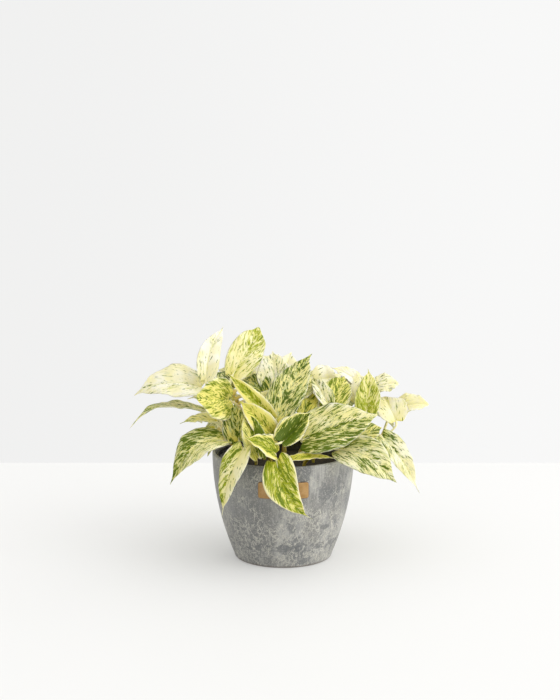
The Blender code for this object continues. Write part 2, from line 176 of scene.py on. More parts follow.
# Marks on the glaze: how often noise repeats in a metre, and where single marks begin and are full
STREAK_SCALE = (460, 460, 24)
BROAD_SCALE = (45, 45, 16)
DRAWN_SCALE = (1, 1, 0.6)
LOWER_ZONE = (0.10, 0.05)
SMOOTH_ZONE_LEFT = (-0.058, -0.040)
SMOOTH_ZONE_RIGHT = (0.012, -0.012)
VEIN_EDGE = (0.030, 0.006)
BAND_HEIGHT = 0.034
BAND_EDGE = (0.0058, 0.0030)
SMUDGE_PLACE = (0.0505, -0.0585, 0.0525)
SMUDGE_SCALE = (95, 95, 200)
# FOOT_LINE: where the painted contact shadow round the foot begins and is full
FOOT_LINE = (0.0045, 0.0022)

# Floor, lamps and camera
FLOOR_REACH = (1.8, 1.04)
FLOOR_MIDDLE = -0.56
LAMP_AIM = (0, 0, 0.13)
KEY_PLACE = (4.6, -3.4, 4.2)
KEY_SIZE = 5.0
RIM_LIGHT_PLACE = (1.2, 2.2, 1.8)
RIM_LIGHT_SIZE = 1.5
RIM_LIGHT_SHARE = 0.05
CAMERA_PLACE = (-0.004, -1.84827, 0.57532)
CAMERA_PITCH = 9.6
SENSOR_WIDTH = 36

# Fineness of the meshes
BLADE_ROWS = 48
BLADE_COLUMNS = 32
STALK_POINTS = 40
PETIOLE_POINTS = 26
STALK_SIDES = 14
TURNED_STEPS = 192
LABEL_GRID = (72, 24)

# A leaf's two ends and width in millimetres and the way its upper side faces, as in the solids.
Leaf = namedtuple("Leaf", "base tip width face arch bend fold point hook", defaults=(0.06, 0, 16, 1, 0))
Stem = namedtuple("Stem", "hole way leaves")

STEMS = {
    "stem_front": Stem((-14, -34), [(-20, -46, 140), (-24, -62, 153)], {
        "front_centre": Leaf((-8, -91, 143), (34, -112, 76), 46, (0.15, -1, 0.25), 0.12, 0.15, point=1.45),
        "front_left": Leaf(
            (-47, -88, 158), (-74, -101, 77), 34, (-0.35, -0.9, 0.25), 0.10, 0.03, 22, point=1.5
        ),
        "small_over": Leaf((-10, -88, 151), (-46, -99, 174), 35, (0.2, -0.7, 0.8), 0.12, 0, 20, point=1.2),
        "folded_up": Leaf((-29, -84, 147), (-46, -70, 202), 36, (0.1, -1, 0.1), 0.06, 0, 35),
        "cream_lime": Leaf((-14, -69, 170), (-53, -68, 213), 33, (-0.2, -0.7, 0.6), 0.08, 0, 26),
        "unrolling": Leaf((-2, -86, 165), (33, -66, 199), 46, (-0.1, -0.8, 0.55), -0.08, 0, 42),
    }),
    "stem_left": Stem((-34, -14), [(-58, -26, 145), (-80, -34, 160)], {
        "left_facing": Leaf(
            (-65, -34, 206), (-102, -92, 219), 54, (0.72, -0.65, 0.25), 0.08, 0, 10, point=0.6
        ),
        "far_left": Leaf((-102, -12, 216), (-184, -25, 217), 56, (0, -0.6, 0.8), 0.14, 0, 14, hook=0.06),
        "thin_hook": Leaf((-99, -20, 188), (-186, -42, 196), 36, (0, -0.05, 1), 0.06, hook=0.24),
        "pointed": Leaf((-82, -42, 180), (-126, -60, 184), 26, (-0.2, -0.4, 0.9), 0.08, 0, 18, point=1.4),
        "left_droop": Leaf((-72, -57, 159), (-137, -80, 110), 48, (-0.3, -0.65, 0.7), 0.26, 0.05, point=1.2),
        "left_of_fold": Leaf((-54, -56, 160), (-60, -44, 205), 38, (-0.1, -0.9, 0.45)),
        "behind_rim": Leaf((-86, 24, 156), (-106, 16, 122), 28, (-0.8, -0.5, 0.4), 0.15),
        "left_top": Leaf((-68, 2, 194), (-122, 18, 198), 42, (-0.2, -0.1, 1), 0.10),
    }),
    "stem_upper_left": Stem((-24, 10), [(-44, 4, 165), (-62, 0, 205)], {
        "broad_upright": Leaf((-63, 2, 231), (-28, 50, 284), 44, (0.3, -0.8, 0.5), 0.05, 0, 12, point=0.75),
        "narrow_upright": Leaf(
            (-95, -28, 230), (-72, 22, 290), 31, (0.2, -0.8, 0.5), 0.05, -0.09, 22, point=1.2
        ),
        "dark_speckled": Leaf((-24, -10, 209), (-50, 24, 224), 38, (-0.2, -0.7, 0.7)),
        "behind_left": Leaf((-10, 0, 212), (-14, 34, 257), 46, (0, -0.8, 0.6), point=1.1),
        "top_left": Leaf((-42, 34, 216), (-86, 60, 228), 48, (-0.2, 0, 1), 0.10),
    }),
    "stem_centre": Stem((0, -10), [(2, -20, 160), (4, -34, 180)], {
        "central_star": Leaf((-9, -52, 185), (35, 6, 260), 48, (-0.15, -0.8, 0.6), point=1.1),
        "long_lime": Leaf((-13, -50, 185), (-69, -60, 246), 23, (-0.3, -0.7, 0.6), 0.06, 0, 20),
        "cream_mid": Leaf((-14, -34, 192), (-36, -12, 212), 36, (-0.1, -0.7, 0.6)),
        "cream_tip": Leaf((-2, 18, 212), (10, 62, 251), 32, (0, -0.8, 0.6)),
        "speckled_mid": Leaf((25, -36, 187), (36, -4, 213), 30, (0.1, -0.7, 0.6)),
        "middle_top": Leaf((16, -14, 204), (48, 20, 224), 34, (0.1, -0.3, 1), 0.08),
    }),
    "stem_right": Stem((26, -30), [(42, -44, 140), (56, -52, 152)], {
        "big_right": Leaf((24, -64, 163), (117, -56, 192), 66, (-0.1, -0.75, 0.65), 0.05, 0, 14),
        "right_lower": Leaf((69, -62, 150), (136, -84, 113), 50, (0.15, -0.85, 0.5), 0.10, -0.10, 14),
        "on_rim": Leaf((4, -86, 142), (62, -75, 144), 15, (0, -0.4, 1), 0.05, 0, 20),
        "behind_tip": Leaf((90, -40, 160), (122, -30, 172), 30, (0.1, -0.8, 0.5)),
    }),
    "stem_far_right": Stem((38, -2), [(72, -8, 146), (119, -14, 150)], {
        "upright_lime": Leaf((103, -20, 185), (109, 20, 237), 34, (0, -0.8, 0.5), point=1.3),
        "top_right": Leaf((116, 16, 211), (146, 18, 217), 36, (0, -0.5, 0.85), 0.10, point=0.7),
        "right_top": Leaf((98, 14, 182), (146, 40, 190), 42, (0.2, -0.1, 1), 0.10),
        "right_behind": Leaf(
            (122, -24, 158), (168, -42, 89), 33, (0.3, -0.85, 0.45), 0.04, -0.05, 14, point=1.5
        ),
        "pale_up": Leaf((140, -18, 176), (126, 12, 202), 44, (0.2, -0.8, 0.5), point=0.7),
        "pale_far": Leaf((139, 8, 184), (182, 0, 195), 36, (0, -0.5, 0.85), 0.10, point=0.6),
    }),
    "stem_mid_right": Stem((20, 14), [(40, 8, 165), (54, 4, 190)], {
        "lime_dark": Leaf((56, -16, 191), (79, 26, 226), 42, (0.1, -0.8, 0.6)),
        "pale_mid": Leaf((40, 30, 219), (74, 54, 217), 38, (0, -0.8, 0.5)),
        "thin_tip": Leaf((96, 37, 214), (61, 36, 235), 24, (0, -0.6, 0.8), 0.08, point=1.2),
        "diagonal_fold": Leaf((56, -30, 198), (35, 4, 229), 26, (0.2, -0.8, 0.5), 0.05, 0, 30),
        "cream_right": Leaf((82, 10, 197), (88, 50, 231), 34, (0.1, -0.8, 0.5)),
    }),
    "stem_back_left": Stem((-20, 36), [(-40, 48, 150), (-56, 54, 172)], {
        "back_left_low": Leaf((-62, 72, 160), (-100, 118, 100), 52, (-0.5, 0.8, 0.5), 0.10),
        "back_left_mid": Leaf((-50, 68, 188), (-80, 138, 160), 56, (-0.2, 0.6, 0.8), 0.10, 0, 14),
        "back_left_high": Leaf((-64, 40, 206), (-102, 96, 216), 50, (-0.3, 0.3, 0.9), 0.08, 0, 14),
        "back_left_side": Leaf((-88, 46, 176), (-110, 100, 148), 42, (-0.7, 0.3, 0.8), 0.10, 0, 14),
    }),
    "stem_back": Stem((2, 40), [(0, 50, 155), (-2, 58, 185)], {
        "back_low": Leaf((6, 92, 152), (2, 124, 70), 50, (0.1, 1, 0.3), 0.12, 0.04),
        "back_mid": Leaf((-14, 80, 194), (-22, 152, 166), 58, (0, 0.6, 0.8), 0.10, 0, 14),
        "back_high": Leaf((-12, 54, 218), (-26, 112, 238), 50, (-0.2, 0.4, 0.9), 0.06, 0, 14),
        "back_lean": Leaf((16, 60, 208), (40, 126, 214), 54, (0.2, 0.5, 0.9), 0.08, 0, 14),
    }),
    "stem_back_right": Stem((24, 34), [(46, 44, 150), (62, 50, 170)], {
        "back_right_low": Leaf((62, 76, 158), (104, 118, 100), 52, (0.5, 0.8, 0.5), 0.10),
        "back_right_mid": Leaf((56, 68, 186), (94, 132, 162), 56, (0.3, 0.6, 0.8), 0.10, 0, 14),
        "back_right_high": Leaf((66, 46, 204), (110, 96, 212), 50, (0.3, 0.3, 0.9), 0.08, 0, 14),
        "back_right_side": Leaf((102, 44, 172), (146, 82, 146), 46, (0.6, 0.2, 0.9), 0.10, 0, 14),
    }),
}

# How a leaf is marbled, each from 0 to 1: how much of it is green, how dark and how lime that green is,
# how far the green leans to its right side and to its tip (below 0 to the left and the base),
# how broad its cream margin is and how yellow its cream is.
# For leaves in the plant's shade, the green, dark and yellow shares are set partly as painted shade.
Marbling = namedtuple("Marbling", "green dark lime side tip margin warm", defaults=(0, 0, 0.1, 0.5))

MARBLINGS = {
    "front_centre": Marbling(0.72, 0.40, 1.0, 0, 0, 0.16, 0.6),
    "front_left": Marbling(0.44, 0.25, 0.85, 0.4, 0, 0.1, 0.3),
    "small_over": Marbling(0.72, 0.45, 0.95, 0, 0, 0.3, 0.8),
    "folded_up": Marbling(0.64, 0.65, 0.7, 0.4, 0, 0.1, 0.8),
    "cream_lime": Marbling(0.50, 0.15, 0.9, 0, 0, 0.3, 0.9),
    "unrolling": Marbling(0.80, 0.95, 0.45, 0, -0.3, 0.22, 0.9),
    "left_of_fold": Marbling(0.58, 0.85, 0.3, 0, 0, 0.1, 0.8),
    "left_facing": Marbling(0.57, 0.45, 0.9, 0, -0.1, 0, 0.8),
    "far_left": Marbling(0.32, 0.60, 0.5, 0, 0, 0, 0.0),
    "thin_hook": Marbling(0.50, 0.10, 0.2, 0, 0, 0, 0.3),
    "pointed": Marbling(0.45, 0.70, 0.4, 0, 0.3, 0, 0.6),
    "left_droop": Marbling(0.58, 0.50, 0.5, 0.2, 0.1, 0.1, 0.4),
    "behind_rim": Marbling(0.60, 0.10, 1.0, 0, 0, 0, 0.8),
    "left_top": Marbling(0.46, 0.40, 0.5),
    "broad_upright": Marbling(0.52, 0.2, 1.0, 0.1, 0.35, 0, 0.35),
    "narrow_upright": Marbling(0.26, 0.75, 0.5, -0.1, 0, 0, 0.0),
    "dark_speckled": Marbling(0.62, 0.80, 0.3, 0, 0, 0, 0.8),
    "behind_left": Marbling(0.42, 0.90, 0.35, 0, 0, 0, 0.05),
    "top_left": Marbling(0.44, 0.50, 0.4),
    "central_star": Marbling(0.57, 0.80, 0.35, 0, 0, 0, 0.55),
    "long_lime": Marbling(0.68, 0.15, 1.0, 0, 0, 0.35, 0.8),
    "cream_mid": Marbling(0.30, 0.20, 0.5, 0, 0, 0, 0.55),
    "cream_tip": Marbling(0.15, 0.30, 0.5, 0, 0, 0, 0.2),
    "speckled_mid": Marbling(0.50, 0.60, 0.6, 0, 0, 0.1, 1.0),
    "middle_top": Marbling(0.46, 0.50, 0.5),
    "big_right": Marbling(0.58, 0.75, 0.55, 0.16, -0.1, 0.1, 0.4),
    "right_lower": Marbling(0.54, 0.70, 0.5, 0, 0, 0.1, 0.25),
    "on_rim": Marbling(0.55, 0.10, 1.0, 0, 0, 0.3, 1.0),
    "behind_tip": Marbling(0.55, 0.60, 0.4, 0, 0, 0.1, 0.6),
    "right_behind": Marbling(0.36, 0.60, 0.4, 0, -0.4, 0, 0.1),
    "pale_up": Marbling(0.24, 0.20, 0.8, 0, 0, 0, 0.15),
    "pale_far": Marbling(0.18, 0.10, 0.8, 0, 0, 0, 0.2),
    "upright_lime": Marbling(0.54, 0.25, 1.0, 0, -0.35, 0.1, 0.45),
    "top_right": Marbling(0.40, 0.60, 0.5, 0, 0, 0, 0.1),
    "right_top": Marbling(0.38, 0.40, 0.5, 0, 0, 0, 0.3),
    "lime_dark": Marbling(0.58, 0.60, 0.9, 0, 0, 0, 0.75),
    "pale_mid": Marbling(0.14, 0.20, 0.8, 0, 0, 0, 0.1),
    "thin_tip": Marbling(0.15, 0.20, 0.4, 0, 0, 0, 0.0),
    "diagonal_fold": Marbling(0.48, 0.75, 0.5, 0, 0, 0.1, 0.1),
    "cream_right": Marbling(0.28, 0.20, 0.8, 0, 0, 0, 0.2),
    "back_left_low": Marbling(0.50, 0.50, 0.5),
    "back_left_mid": Marbling(0.40, 0.40, 0.7, 0, 0, 0, 0.2),
    "back_left_high": Marbling(0.55, 0.65, 0.3, 0.3),
    "back_left_side": Marbling(0.30, 0.40, 0.4, 0, 0, 0, 0.1),
    "back_low": Marbling(0.60, 0.35, 0.9, 0, 0, 0.2, 0.6),
    "back_mid": Marbling(0.42, 0.60, 0.3, -0.3, 0, 0, 0.2),
    "back_high": Marbling(0.28, 0.50, 0.4, 0, 0, 0, 0.1),
    "back_lean": Marbling(0.52, 0.35, 0.8, 0, 0, 0.1, 0.4),
    "back_right_low": Marbling(0.42, 0.50, 0.4, 0, 0, 0.1, 0.3),
    "back_right_mid": Marbling(0.58, 0.60, 0.4, 0.3),
    "back_right_high": Marbling(0.36, 0.40, 0.6, 0, 0, 0, 0.2),
    "back_right_side": Marbling(0.48, 0.30, 0.8, 0, 0, 0.1, 0.4),
}


def colour_setting(name, description, red, green, blue):
    return FloatVectorProperty(
        name=name, description=description, default=(red, green, blue, 1),
        size=4, subtype="COLOR", min=0, max=1,
    )


def length_setting(name, description, default):
    return FloatProperty(
        name=name, description=description, default=default,
        min=0, precision=5, unit="LENGTH", subtype="DISTANCE",
    )


def share_setting(name, description, default):
    return FloatProperty(
        name=name, description=description, default=default, min=0, max=1, subtype="FACTOR"
    )


class PothosLeafSettings(bpy.types.PropertyGroup):
    """Sizes and colours of the leafy stems"""

    blade_thickness: length_setting("Blade Thickness", "Thickness of a blade beside its midrib", 0.0006)
    midrib_depth: length_setting("Midrib Depth", "Depth of the channel on the midrib's upper side", 0.0004)
    quilting: length_setting("Quilting", "Height of the blade between two side veins", 0.00018)
    vein_spacing: length_setting("Vein Spacing", "Distance between two side veins along the midrib", 0.0072)
    fleck_width: length_setting("Fleck Width", "Distance between flecks across the side veins", 0.0047)
    fleck_length: length_setting("Fleck Length", "Distance between flecks along a side vein", 0.0032)
    cream: colour_setting("Cream", "The blade's ground colour", 0.80, 0.75, 0.47)
    ivory: colour_setting("Ivory", "The palest parts of the ground", 0.84, 0.81, 0.67)
    # Partly the inner leaves' own yellower cream and partly painted shade that darkens them deep in the
    # plant
    butter: colour_setting("Butter", "The ground of the inner leaves", 0.72, 0.645, 0.12)
    pale_lime: colour_setting("Pale Lime", "Soft haze round lime flecks", 0.54, 0.54, 0.07)
    pale_sage: colour_setting("Pale Sage", "Soft haze round grey-green flecks", 0.50, 0.505, 0.17)
    mist: colour_setting("Mist", "Milky grey-green patches", 0.33, 0.43, 0.24)
    lime: colour_setting("Lime", "Lime flecks", 0.29, 0.335, 0.003)
    sage: colour_setting("Sage", "Grey-green flecks", 0.155, 0.225, 0.015)
    mid_green: colour_setting("Mid Green", "Dark parts of lime flecks", 0.12, 0.18, 0.001)
    deep_green: colour_setting("Deep Green", "Dark parts of grey-green flecks", 0.038, 0.078, 0.001)
    petiole_colour: colour_setting("Petiole Colour", "Leaf stalks near their blade", 0.92, 0.86, 0.48)
    sheath_colour: colour_setting("Sheath Colour", "Leaf stalks near the stem", 0.62, 0.46, 0.06)
    stem_colour: colour_setting("Stem Colour", "The stems", 0.36, 0.36, 0.05)


class PothosPlanterSettings(bpy.types.PropertyGroup):
    """Finish of the planter, the grower's pot and the label"""

    unevenness: length_setting("Unevenness", "How far the hand-finished wall swells and sinks", 0.0003)
    glaze: colour_setting("Glaze", "The glaze's middle grey", 0.255, 0.25, 0.232)
    pale_glaze: colour_setting("Pale Glaze", "The glaze's light streaks", 0.41, 0.405, 0.38)
    dark_glaze: colour_setting("Dark Glaze", "The glaze's dark bluish patches", 0.128, 0.134, 0.138)
    mottle: colour_setting("Mottle", "Beige-grey specks and veins on the glaze", 0.66, 0.64, 0.56)
    # Painted shade: a brownish contact shadow, drawn as a line round the planter's foot
    painted_foot_shadow: colour_setting("Painted Foot Shadow", "Brownish line round the foot", 0.17, 0.145, 0.12)
    plastic: colour_setting("Plastic", "The grower's pot", 0.0045, 0.0045, 0.0025)
    leather: colour_setting("Leather", "The bare label", 0.37, 0.195, 0.05)
    leather_edge: colour_setting("Leather Edge", "The label's burnished edge", 0.17, 0.085, 0.03)


class PothosSoilSettings(bpy.types.PropertyGroup):
    """Sizes and colours of the soil"""

    lumps: length_setting("Lumps", "Height of the soil's unevenness", 0.004)
    crumb_size: length_setting("Crumb Size", "Size of the largest crumbs", 0.0030)
    crumb_count: IntProperty(
        name="Crumbs per Square Metre", description="How densely crumbs lie", default=110000,
        min=0, subtype="UNSIGNED",
    )
    # Partly the peat's own dark colour and partly painted shade: set darker for the shade inside the pot
    soil: colour_setting("Soil", "Damp peat", 0.012, 0.008, 0.005)
    dry_soil: colour_setting("Dry Soil", "Dry crumbs", 0.040, 0.026, 0.016)
    bark: colour_setting("Bark", "Chips of bark", 0.085, 0.046, 0.022)
    perlite: colour_setting("Perlite", "White grains", 0.55, 0.53, 0.47)


class PothosStageSettings(bpy.types.PropertyGroup):
    """Floor, light and camera"""

    lens: FloatProperty(
        name="Lens", description="Focal length of the camera", default=77.5, min=1, unit="CAMERA"
    )
    key_power: FloatProperty(
        name="Key Light", description="Power of the soft light from the upper right", default=105,
        min=0, unit="POWER",
    )
    fill: share_setting("Fill", "Strength of the light from all round", 0.95)
    floor: colour_setting("Floor", "The pale floor", 0.545, 0.545, 0.540)
    # Painted light: the floor itself glows, with no lamp under it, to lift the shade round the plant
    painted_floor_glow: share_setting("Painted Floor Glow", "Light that shines up through the floor", 0.253)
    backdrop: colour_setting("Backdrop", "What shows behind the floor", 0.905, 0.905, 0.90)


def label_of(name):
    """The label of a socket whose name is written in small letters."""
    return name.replace("_", " ").title()


class Nodes:
    """Adds nodes to a tree. An input takes a plain value or another node's output."""

    def __init__(self, tree):
        self.tree = tree

    def feed(self, socket, value):
        if isinstance(value, bpy.types.NodeSocket):
            self.tree.links.new(value, socket)
        else:
            socket.default_value = value

    def add(self, kind, inputs=None, **settings):
        node = self.tree.nodes.new(kind)
        for name, value in settings.items():
            setattr(node, name, value)
        for name, value in (inputs or {}).items():
            self.feed(node.inputs[name], value)
        return node

    def operate(self, kind, operation, values):
        node = self.add(kind, operation=operation)
        for socket, value in zip(node.inputs, values):
            self.feed(socket, value)
        return node.outputs

    def calc(self, operation, *values):
        return self.operate("ShaderNodeMath", operation, values)[0]

    def times(self, *values):
        return self.calc("MULTIPLY", *values)

    def plus(self, *values):
        return self.calc("ADD", *values)

    def minus(self, *values):
        return self.calc("SUBTRACT", *values)

    def divided(self, *values):
        return self.calc("DIVIDE", *values)

    def times_plus(self, *values):
        return self.calc("MULTIPLY_ADD", *values)

    def vector(self, operation, *values):
        outputs = self.operate("ShaderNodeVectorMath", operation, values)
        return outputs["Value" if operation == "LENGTH" else "Vector"]

    def scaled(self, vector, scale):
        return self.vector("MULTIPLY", vector, scale)

    def combine(self, x=0.0, y=0.0, z=0.0):
        return self.add("ShaderNodeCombineXYZ", {"X": x, "Y": y, "Z": z}).outputs[0]

    def split(self, vector):
        return self.add("ShaderNodeSeparateXYZ", {"Vector": vector}).outputs

    def noise(self, place, detail=2.0, roughness=0.5, distortion=0.0, scale=1.0, output="Fac"):
        inputs = {"Vector": place, "Scale": scale}
        inputs |= {"Detail": detail, "Roughness": roughness, "Distortion": distortion}
        return self.add("ShaderNodeTexNoise", inputs).outputs[output]

    def rise(self, value, low, high, bottom=0.0, top=1.0):
        """Goes smoothly from bottom to top while value goes from low to high."""
        inputs = {"Value": value, "From Min": low, "From Max": high, "To Min": bottom, "To Max": top}
        return self.add("ShaderNodeMapRange", inputs, interpolation_type="SMOOTHSTEP").outputs["Result"]

    def blend(self, share, under, over):
        """Lays one colour over another."""
        node = self.add("ShaderNodeMix", data_type="RGBA")
        for place, value in ((0, share), (6, under), (7, over)):
            self.feed(node.inputs[place], value)
        return node.outputs[2]

    def layered(self, colour, *layers):
        """Lays colours over one another, each as strong as its mask."""
        for mask, over in layers:
            colour = self.blend(mask, colour, over)
        return colour

    def parts(self, colour):
        """A colour's red, green and blue values."""
        return self.add("ShaderNodeSeparateColor", {"Color": colour}).outputs[:3]

    def fill(self, node, inputs):
        """Feeds inputs whose names are written in small letters, and gives the node's outputs."""
        for name, value in inputs.items():
            self.feed(node.inputs[label_of(name)], value)
        return node.outputs

    def group(self, tree, **inputs):
        kind = "ShaderNodeGroup" if tree.type == "SHADER" else "GeometryNodeGroup"
        return self.fill(self.add(kind, node_tree=tree), inputs)

    def change(self, kind, geometry, **inputs):
        """Passes geometry through a node, and gives what comes out."""
        node = self.add("GeometryNode" + kind)
        self.feed(node.inputs[0], geometry)
        return self.fill(node, inputs)[0]

    def finish(self, geometry, material):
        """Smooth real mesh with its material."""
        for kind in ("SetShadeSmooth", "RealizeInstances"):
            geometry = self.change(kind, geometry)
        return self.change("SetMaterial", geometry, material=material)


def new_tree(name, kind, inputs, outputs):
    """A node group with named sockets, and what feeds and takes its values inside.

    An input is named with its default number, or with its kind where it has none.
    """
    tree = bpy.data.node_groups.new(name, kind)
    for label, value in inputs.items():
        socket = {float: "Float", int: "Int"}.get(type(value), value)
        made = tree.interface.new_socket(name=label, in_out="INPUT", socket_type=f"NodeSocket{socket}")
        if value != socket:
            made.default_value = value
    for label, socket in outputs.items():
        tree.interface.new_socket(name=label, in_out="OUTPUT", socket_type="NodeSocket" + socket)
    return Nodes(tree), tree.nodes.new("NodeGroupInput").outputs, tree.nodes.new("NodeGroupOutput").inputs


def shared_tree(name, build):
    """The node group of that name, built once."""
    return bpy.data.node_groups.get(name) or build(name)


def mottling_tree(name):
    """Soft-edged patches of noise, as a mask. Amount 0 leaves none and 1 covers all."""
    inputs = {"Place": "Vector", "Size": 0.01, "Amount": 0.5, "Softness": 0.05, "Detail": 2.0}
    outputs = {"Mask": "Float", "Level": "Float"}
    nodes, given, result = new_tree(name, "ShaderNodeTree", inputs, outputs)
    scale = nodes.divided(1.0, given["Size"])
    level = nodes.noise(given["Place"], detail=given["Detail"], roughness=0.6, scale=scale)
    moved = nodes.times_plus(nodes.minus(given["Amount"], 0.5), 0.6, level)
    low = nodes.minus(0.5, given["Softness"])
    high = nodes.plus(0.5, given["Softness"])
    nodes.feed(result["Mask"], nodes.rise(moved, low, high))
    nodes.feed(result["Level"], level)
    return nodes.tree


def grain_tree(name):
    """A fine even grain for bump and gloss."""
    inputs = {"Place": "Vector", "Size": 0.001, "Depth": 0.0001}
    outputs = {"Height": "Float", "Level": "Float"}
    nodes, given, result = new_tree(name, "ShaderNodeTree", inputs, outputs)
    scale = nodes.divided(1.0, given["Size"])
    fine = nodes.noise(given["Place"], detail=3.0, roughness=0.6, scale=scale)
    cells = nodes.add("ShaderNodeTexVoronoi", {"Vector": given["Place"], "Scale": scale})
    level = nodes.times_plus(cells.outputs["Distance"], 0.5, fine)
    nodes.feed(result["Level"], nodes.times(level, 0.7))
    nodes.feed(result["Height"], nodes.times(level, given["Depth"]))
    return nodes.tree


def fleck_tree(name):
    """Flecks drawn out along one direction. The place's X crosses them and its Y runs along them."""
    inputs = {"Place": "Vector", "Width": 0.003, "Length": 0.008, "Seed": 0.0}
    outputs = {"Flecks": "Float", "Clouds": "Float", "Second": "Float", "Specks": "Float"}
    nodes, given, result = new_tree(name, "ShaderNodeTree", inputs, outputs)
    size = nodes.combine(nodes.divided(1.0, given["Width"]), nodes.divided(1.0, given["Length"]), 1.0)
    place = nodes.scaled(given["Place"], size)
    place = nodes.vector("ADD", place, nodes.combine(0.0, 0.0, nodes.times(given["Seed"], 40.0)))
    sway = nodes.noise(nodes.scaled(place, (0.45, 0.6, 1.0)), detail=1.0, output="Color")
    sway = nodes.scaled(nodes.vector("SUBTRACT", sway, (0.5, 0.5, 0.5)), (1.5, 0.9, 0.0))
    place = nodes.vector("ADD", place, sway)
    nodes.feed(result["Flecks"], nodes.noise(place, detail=4.0, roughness=0.66))
    nodes.feed(result["Clouds"], nodes.noise(nodes.scaled(place, (0.30, 0.42, 1.0)), detail=1.0))
    elsewhere = nodes.vector("ADD", nodes.scaled(place, (0.7, 0.9, 1.0)), (7.3, 3.1, 9.7))
    nodes.feed(result["Second"], nodes.noise(elsewhere, detail=3.0, roughness=0.6))
    elsewhere = nodes.vector("ADD", nodes.scaled(place, (1.1, 0.9, 1.0)), (1.9, 8.4, 4.2))
    nodes.feed(result["Specks"], nodes.noise(elsewhere))
    return nodes.tree


def new_material(name):
    """A material with its Principled shader, and the object coordinates."""
    made = bpy.data.materials.new(name)
    made.use_nodes = True
    nodes = Nodes(made.node_tree)
    shader = made.node_tree.nodes["Principled BSDF"].inputs
    place = nodes.add("ShaderNodeTexCoord").outputs["Object"]
    return made, nodes, shader, place


def bump(nodes, shader, height, strength=1.0):
    made = nodes.add("ShaderNodeBump", {"Height": height, "Strength": strength, "Distance": 1.0})
    nodes.feed(shader["Normal"], made.outputs["Normal"])


def grain_of(nodes, place, size, depth):
    """The height and the level of a fine even grain."""
    return nodes.group(shared_tree("Grain", grain_tree), place=place, size=size, depth=depth)


def grained(nodes, shader, place, size, depth, roughness):
    """Lets the roughness vary between two values with a fine grain, and gives the grain."""
    grain = grain_of(nodes, place, size, depth)
    nodes.feed(shader["Roughness"], nodes.rise(grain["Level"], 0.2, 0.9, *roughness))
    return grain


def mottled(nodes, place, size, amount, softness, detail):
    """The mask and the level of soft-edged patches."""
    tree = shared_tree("Mottling", mottling_tree)
    return nodes.group(tree, place=place, size=size, amount=amount, softness=softness, detail=detail)


def set_values(sockets, values):
    """Gives a node's own sockets their constant values."""
    for name, value in values.items():
        sockets[name].default_value = value


def point_values(nodes, name):
    """Three values and an alpha that the mesh keeps for each of its points."""
    made = nodes.add("ShaderNodeAttribute", attribute_name=name)
    return (*nodes.parts(made.outputs["Color"]), made.outputs["Alpha"])


def blade_material(settings):
    """Cream blades, marbled along their side veins, with darker flecks and a pale midrib and margin."""
    made, nodes, shader, place = new_material("marbled_blade")
    veins = nodes.add("ShaderNodeUVMap", uv_map="Veins").outputs["UV"]
    green, dark, lime, seed = point_values(nodes, "marbling")
    under, rib, margin, warm = point_values(nodes, "blade")
    tree = shared_tree("Flecks", fleck_tree)
    flecks, clouds, second, specks = nodes.group(
        tree, place=veins, width=settings.fleck_width, length=settings.fleck_length, seed=seed
    )
    centred = nodes.minus(green, 0.5)
    level = nodes.times_plus(flecks, 0.80, nodes.times(clouds, 0.20))
    level = nodes.times_plus(centred, 0.40, level)
    green_mask = nodes.rise(level, *GREEN_EDGE)
    haze = nodes.times_plus(clouds, 0.7, nodes.times(second, 0.3))
    haze_mask = nodes.rise(nodes.times_plus(centred, 0.5, haze), *HAZE_EDGE, top=0.75)
    mist_mask = nodes.rise(nodes.times_plus(centred, 0.3, second), *MIST_EDGE, top=0.75)
    mist_mask = nodes.times(mist_mask, nodes.minus(1.0, lime))
    darker = nodes.times_plus(second, 0.6, nodes.times(clouds, 0.4))
    darker = nodes.times_plus(nodes.minus(dark, 0.5), 0.35, darker)
    dark_mask = nodes.times(nodes.rise(darker, *DARK_EDGE), nodes.rise(level, *DARK_WITHIN_GREEN))
    speck_mask = nodes.rise(nodes.times_plus(centred, 0.08, specks), *SPECK_EDGE)
    deep_mask = nodes.calc("MAXIMUM", dark_mask, speck_mask)
    thread_mask = nodes.rise(nodes.noise(nodes.scaled(veins, (520, 330, 1))), *THREAD_EDGE, top=0.75)

    ground_mix = nodes.rise(nodes.noise(nodes.scaled(place, (60, 60, 60)), detail=1.0), *IVORY_EDGE)
    ground_mix = nodes.times(ground_mix, nodes.minus(1.0, warm))
    ground = nodes.blend(ground_mix, settings.cream, settings.ivory)
    # The ground turns butter at each leaf's base, its own colour, and on the inner leaves, where it is
    # partly painted shade
    ground = nodes.blend(warm, ground, settings.butter)
    haze_colour = nodes.blend(lime, settings.pale_sage, settings.pale_lime)
    fleck = nodes.blend(lime, settings.sage, settings.lime)
    deep = nodes.blend(lime, settings.deep_green, settings.mid_green)
    colour = nodes.layered(
        ground,
        (haze_mask, haze_colour),
        (nodes.times(rib, 0.5), settings.pale_lime),
        (mist_mask, settings.mist),
        (nodes.times(green_mask, 0.95), fleck),
        (thread_mask, ground),
        (nodes.times(deep_mask, 0.94), deep),
        (nodes.times(margin, 0.4), settings.ivory),
        (nodes.times(under, 0.35), settings.pale_sage),
    )
    nodes.feed(shader["Base Color"], colour)
    grain = grained(nodes, shader, place, size=0.0011, depth=0.00006, roughness=(0.36, 0.50))
    bump(nodes, shader, nodes.times_plus(flecks, 0.00025, grain["Height"]))
    set_values(shader, {
        "Specular IOR Level": 0.2,
        "Subsurface Weight": 0.4,
        "Subsurface Radius": (1.0, 1.0, 0.3),
        "Subsurface Scale": 0.0012,
    })
    return made


